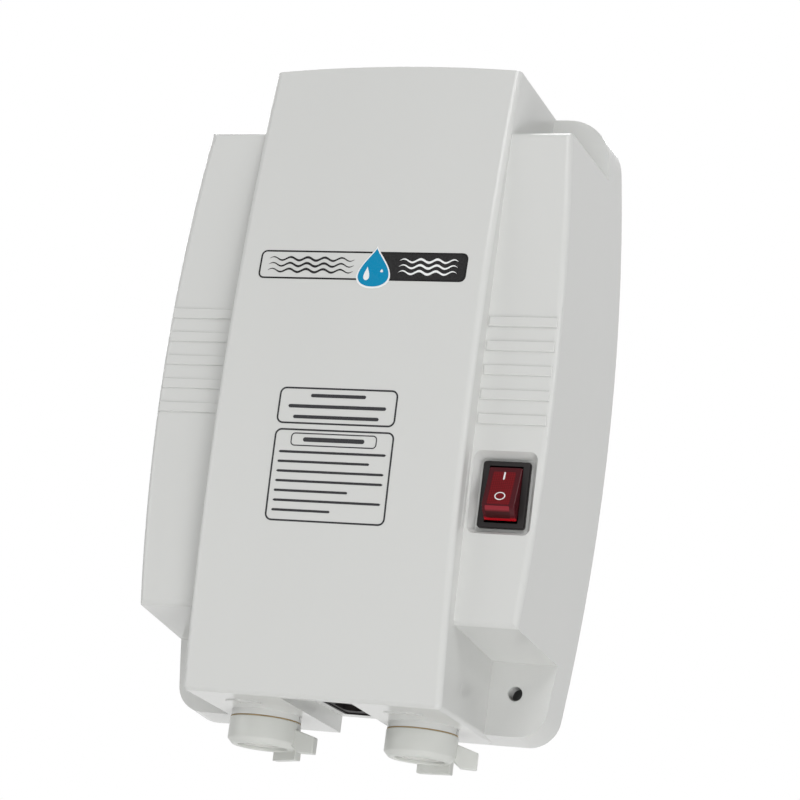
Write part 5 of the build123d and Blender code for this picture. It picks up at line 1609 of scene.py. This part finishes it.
@dataclass
class EarSleeves:
    """White sleeves that line the four wall-screw holes behind the ears."""

    paint: Paint
    reach: Pair = (51.0, 89.5)
    front: float = 17.9
    length: float = 6.0
    outer: float = 2.49
    inner: float = 2.3
    steps: int = 48

    def build(self) -> None:
        """Turns each sleeve about the hole's own axis, which runs along Y.

        A point is the hole's centre plus the section's radius times the cosine and sine
        of the turn, at the section's depth.
        """
        back = self.front - self.length
        section = np.array([
            (self.outer, back), (self.outer, self.front), (self.inner, self.front), (self.inner, back)
        ])
        radius, depth = section[:, 0][:, None], section[:, 1][:, None]
        turn = full_turn(self.steps)
        for high, rise in (("top", 1.0), ("bottom", -1.0)):
            for wide, way in (("left", -1.0), ("right", 1.0)):
                grid = np.stack([
                    way * self.reach[0] + radius * np.cos(turn),
                    -depth + np.zeros_like(turn),
                    rise * self.reach[1] + radius * np.sin(turn),
                ], axis=-1)
                sleeve = surface(f"ear_sleeve_{high}_{wide}", grid, around=True, along=True)
                settle(sleeve, self.paint, "housing_white", Body.HOUSING)


@dataclass
class PressureSpring:
    """Coil spring under the pressure plunger, wound at one fixed length, though the real spring shortens as
    the plunger goes in.
    """

    paint: Paint
    wire: float = 0.35
    turns: float = 5.0
    travel: float = 1.5
    slack: float = 0.03
    steps_per_turn: int = 40
    steps_round: int = 12
    sharp: float = 60.0

    def build(self) -> None:
        """Winds the wire in the CAD spring's own box.

        The wire's middle climbs evenly round the axis. A point of its skin is the middle
        plus the wire's radius times a mix of the outward and upward directions, and the
        radius falls to nothing at both ends, which closes them.
        """
        low, high = (np.array(corner) * MM_PER_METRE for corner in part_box("pressure_spring"))
        centre = (low + high) / 2
        radius = (high[0] - low[0]) / 2 - self.wire
        reach = high[2] - low[2] - 2 * self.wire - self.slack
        run = np.linspace(0.0, 1.0, round(self.turns * self.steps_per_turn) + 1)
        run = np.concatenate([[0.0], run, [1.0]])[:, None]
        thick = np.where(np.arange(len(run)) % (len(run) - 1) == 0, 0.0, self.wire)[:, None]
        around = full_turn(self.steps_round)
        turn = run * self.turns * 2 * math.pi
        out = radius + thick * np.cos(around)
        height = low[2] + self.wire + run * reach + thick * np.sin(around)
        points = np.stack([centre[0] + out * np.cos(turn), centre[1] + out * np.sin(turn), height], axis=-1)
        coil = surface("pressure_coil", points, around=True, sharp=self.sharp)
        settle(coil, self.paint, "screw_steel", Body.HOUSING)
        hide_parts("pressure_spring")
        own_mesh(coil)


@dataclass(frozen=True)
class Lamp:
    """One soft lamp of the studio."""

    name: str
    place: Triple
    size: float
    power: float


@dataclass
class Studio:
    """Camera at the photograph's angle, soft lamps, a pale floor and a white surround."""

    sensor: float = 36.0
    lens: float = 112.391
    near_clip: float = 0.01
    camera_place: Triple = (260.318, -764.877, -209.517)
    image_right: Triple = (0.94791, 0.29401, 0.12258)
    image_down: Triple = (0.03501, 0.28632, -0.95749)
    forward: Triple = (-0.31661, 0.91191, 0.26111)
    target: Triple = (0.0, -30.0, 0.0)
    lamps: tuple[Lamp, ...] = (
        Lamp("lamp_left", (-1300.0, -900.0, 100.0), size=1000.0, power=4.5),
        Lamp("lamp_front_low", (300.0, -1500.0, -900.0), size=1000.0, power=4.0),
        Lamp("lamp_low_right", (1000.0, -1000.0, -1000.0), size=900.0, power=9.4),
        Lamp("lamp_top_right", (500.0, -1000.0, 1100.0), size=900.0, power=9.3),
        Lamp("lamp_edge", (1300.0, -450.0, 370.0), size=420.0, power=1.5),
        Lamp("lamp_ribs", (-420.0, 350.0, 1190.0), size=600.0, power=5.0),
        Lamp("lamp_below", (200.0, -400.0, -1250.0), size=900.0, power=1.6),
        Lamp("lamp_back", (-500.0, 1100.0, 600.0), size=900.0, power=9.5),
    )
    floor_level: float = -1500.0
    floor_size: float = 9000.0
    ambient: float = 0.27

    def build_camera(self) -> None:
        """Places the camera. Its turn has the image's right, up and back as columns."""
        camera = bpy.data.objects.new("camera", bpy.data.cameras.new("camera"))
        camera.data.lens = self.lens
        camera.data.sensor_width = self.sensor
        camera.data.clip_start = self.near_clip
        axes = np.eye(4)
        axes[:3, 0] = self.image_right
        axes[:3, 1] = -np.array(self.image_down)
        axes[:3, 2] = -np.array(self.forward)
        axes[:3, 3] = mm(np.array(self.camera_place))
        camera.matrix_world = Matrix(axes.tolist())
        bpy.context.scene.collection.objects.link(camera)
        bpy.context.scene.camera = camera

    def build_lamps(self) -> None:
        """Hangs the lamps, each turned to the target."""
        target = np.array(self.target)
        for lamp in self.lamps:
            light = bpy.data.lights.new(lamp.name, "AREA")
            light.shape = "DISK"
            light.size = mm(lamp.size)
            light.energy = lamp.power
            holder = bpy.data.objects.new(lamp.name, light)
            back = np.array(lamp.place) - target
            back = back / np.linalg.norm(back)
            right = np.cross((0.0, 0.0, 1.0), back)
            right = right / np.linalg.norm(right)
            axes = np.eye(4)
            axes[:3, :3] = np.stack([right, np.cross(back, right), back], axis=-1)
            axes[:3, 3] = mm(np.array(lamp.place))
            holder.matrix_world = Matrix(axes.tolist())
            bpy.context.scene.collection.objects.link(holder)

    def build_world(self) -> None:
        """Lights the surround softly, and shows it white to the camera, gloss and glass."""
        world = bpy.data.worlds.new("surround")
        bpy.context.scene.world = world
        world.use_nodes = True
        tree = world.node_tree
        tree.nodes.clear()
        soft = tree.nodes.new("ShaderNodeBackground")
        soft.inputs["Color"].default_value = (self.ambient, self.ambient, self.ambient, 1.0)
        white = tree.nodes.new("ShaderNodeBackground")
        white.inputs["Color"].default_value = (1.0, 1.0, 1.0, 1.0)
        blend = tree.nodes.new("ShaderNodeMixShader")
        tree.links.new(seen_rays(tree), blend.inputs["Fac"])
        tree.links.new(soft.outputs["Background"], blend.inputs[1])
        tree.links.new(white.outputs["Background"], blend.inputs[2])
        output = tree.nodes.new("ShaderNodeOutputWorld")
        tree.links.new(blend.outputs["Shader"], output.inputs["Surface"])

    def build_floor(self, paint: Paint) -> None:
        """Lays a plain pale floor well below the pump.

        Args:
            paint: The finishes.
        """
        reach = np.linspace(-0.5, 0.5, 3) * self.floor_size
        across, back = np.meshgrid(reach, reach, indexing="ij")
        floor = surface("floor", np.stack([across, back, np.full_like(across, self.floor_level)], axis=-1))
        paint.dress(floor, "floor_pale")

    def build(self, paint: Paint) -> None:
        """Makes the camera, lamps, surround and floor.

        Args:
            paint: The finishes.
        """
        self.build_camera()
        self.build_lamps()
        self.build_world()
        self.build_floor(paint)
        bpy.context.scene.view_settings.view_transform = "Standard"


def main() -> None:
    """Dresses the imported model, adds its pieces and sets up the studio."""
    logging.basicConfig(level=logging.INFO, format="%(name)s: %(message)s")
    paint = Paint()
    paint.dress_cad()
    FrontPrints(paint).build()
    Rocker(paint).build()
    Underside(paint).build()
    EarSleeves(paint).build()
    PressureSpring(paint).build()
    Port(paint, Side.LEFT, turn=-4.0).build()
    Port(paint, Side.RIGHT, turn=16.0).build()
    Studio().build(paint)


if __name__ == "__main__":
    main()
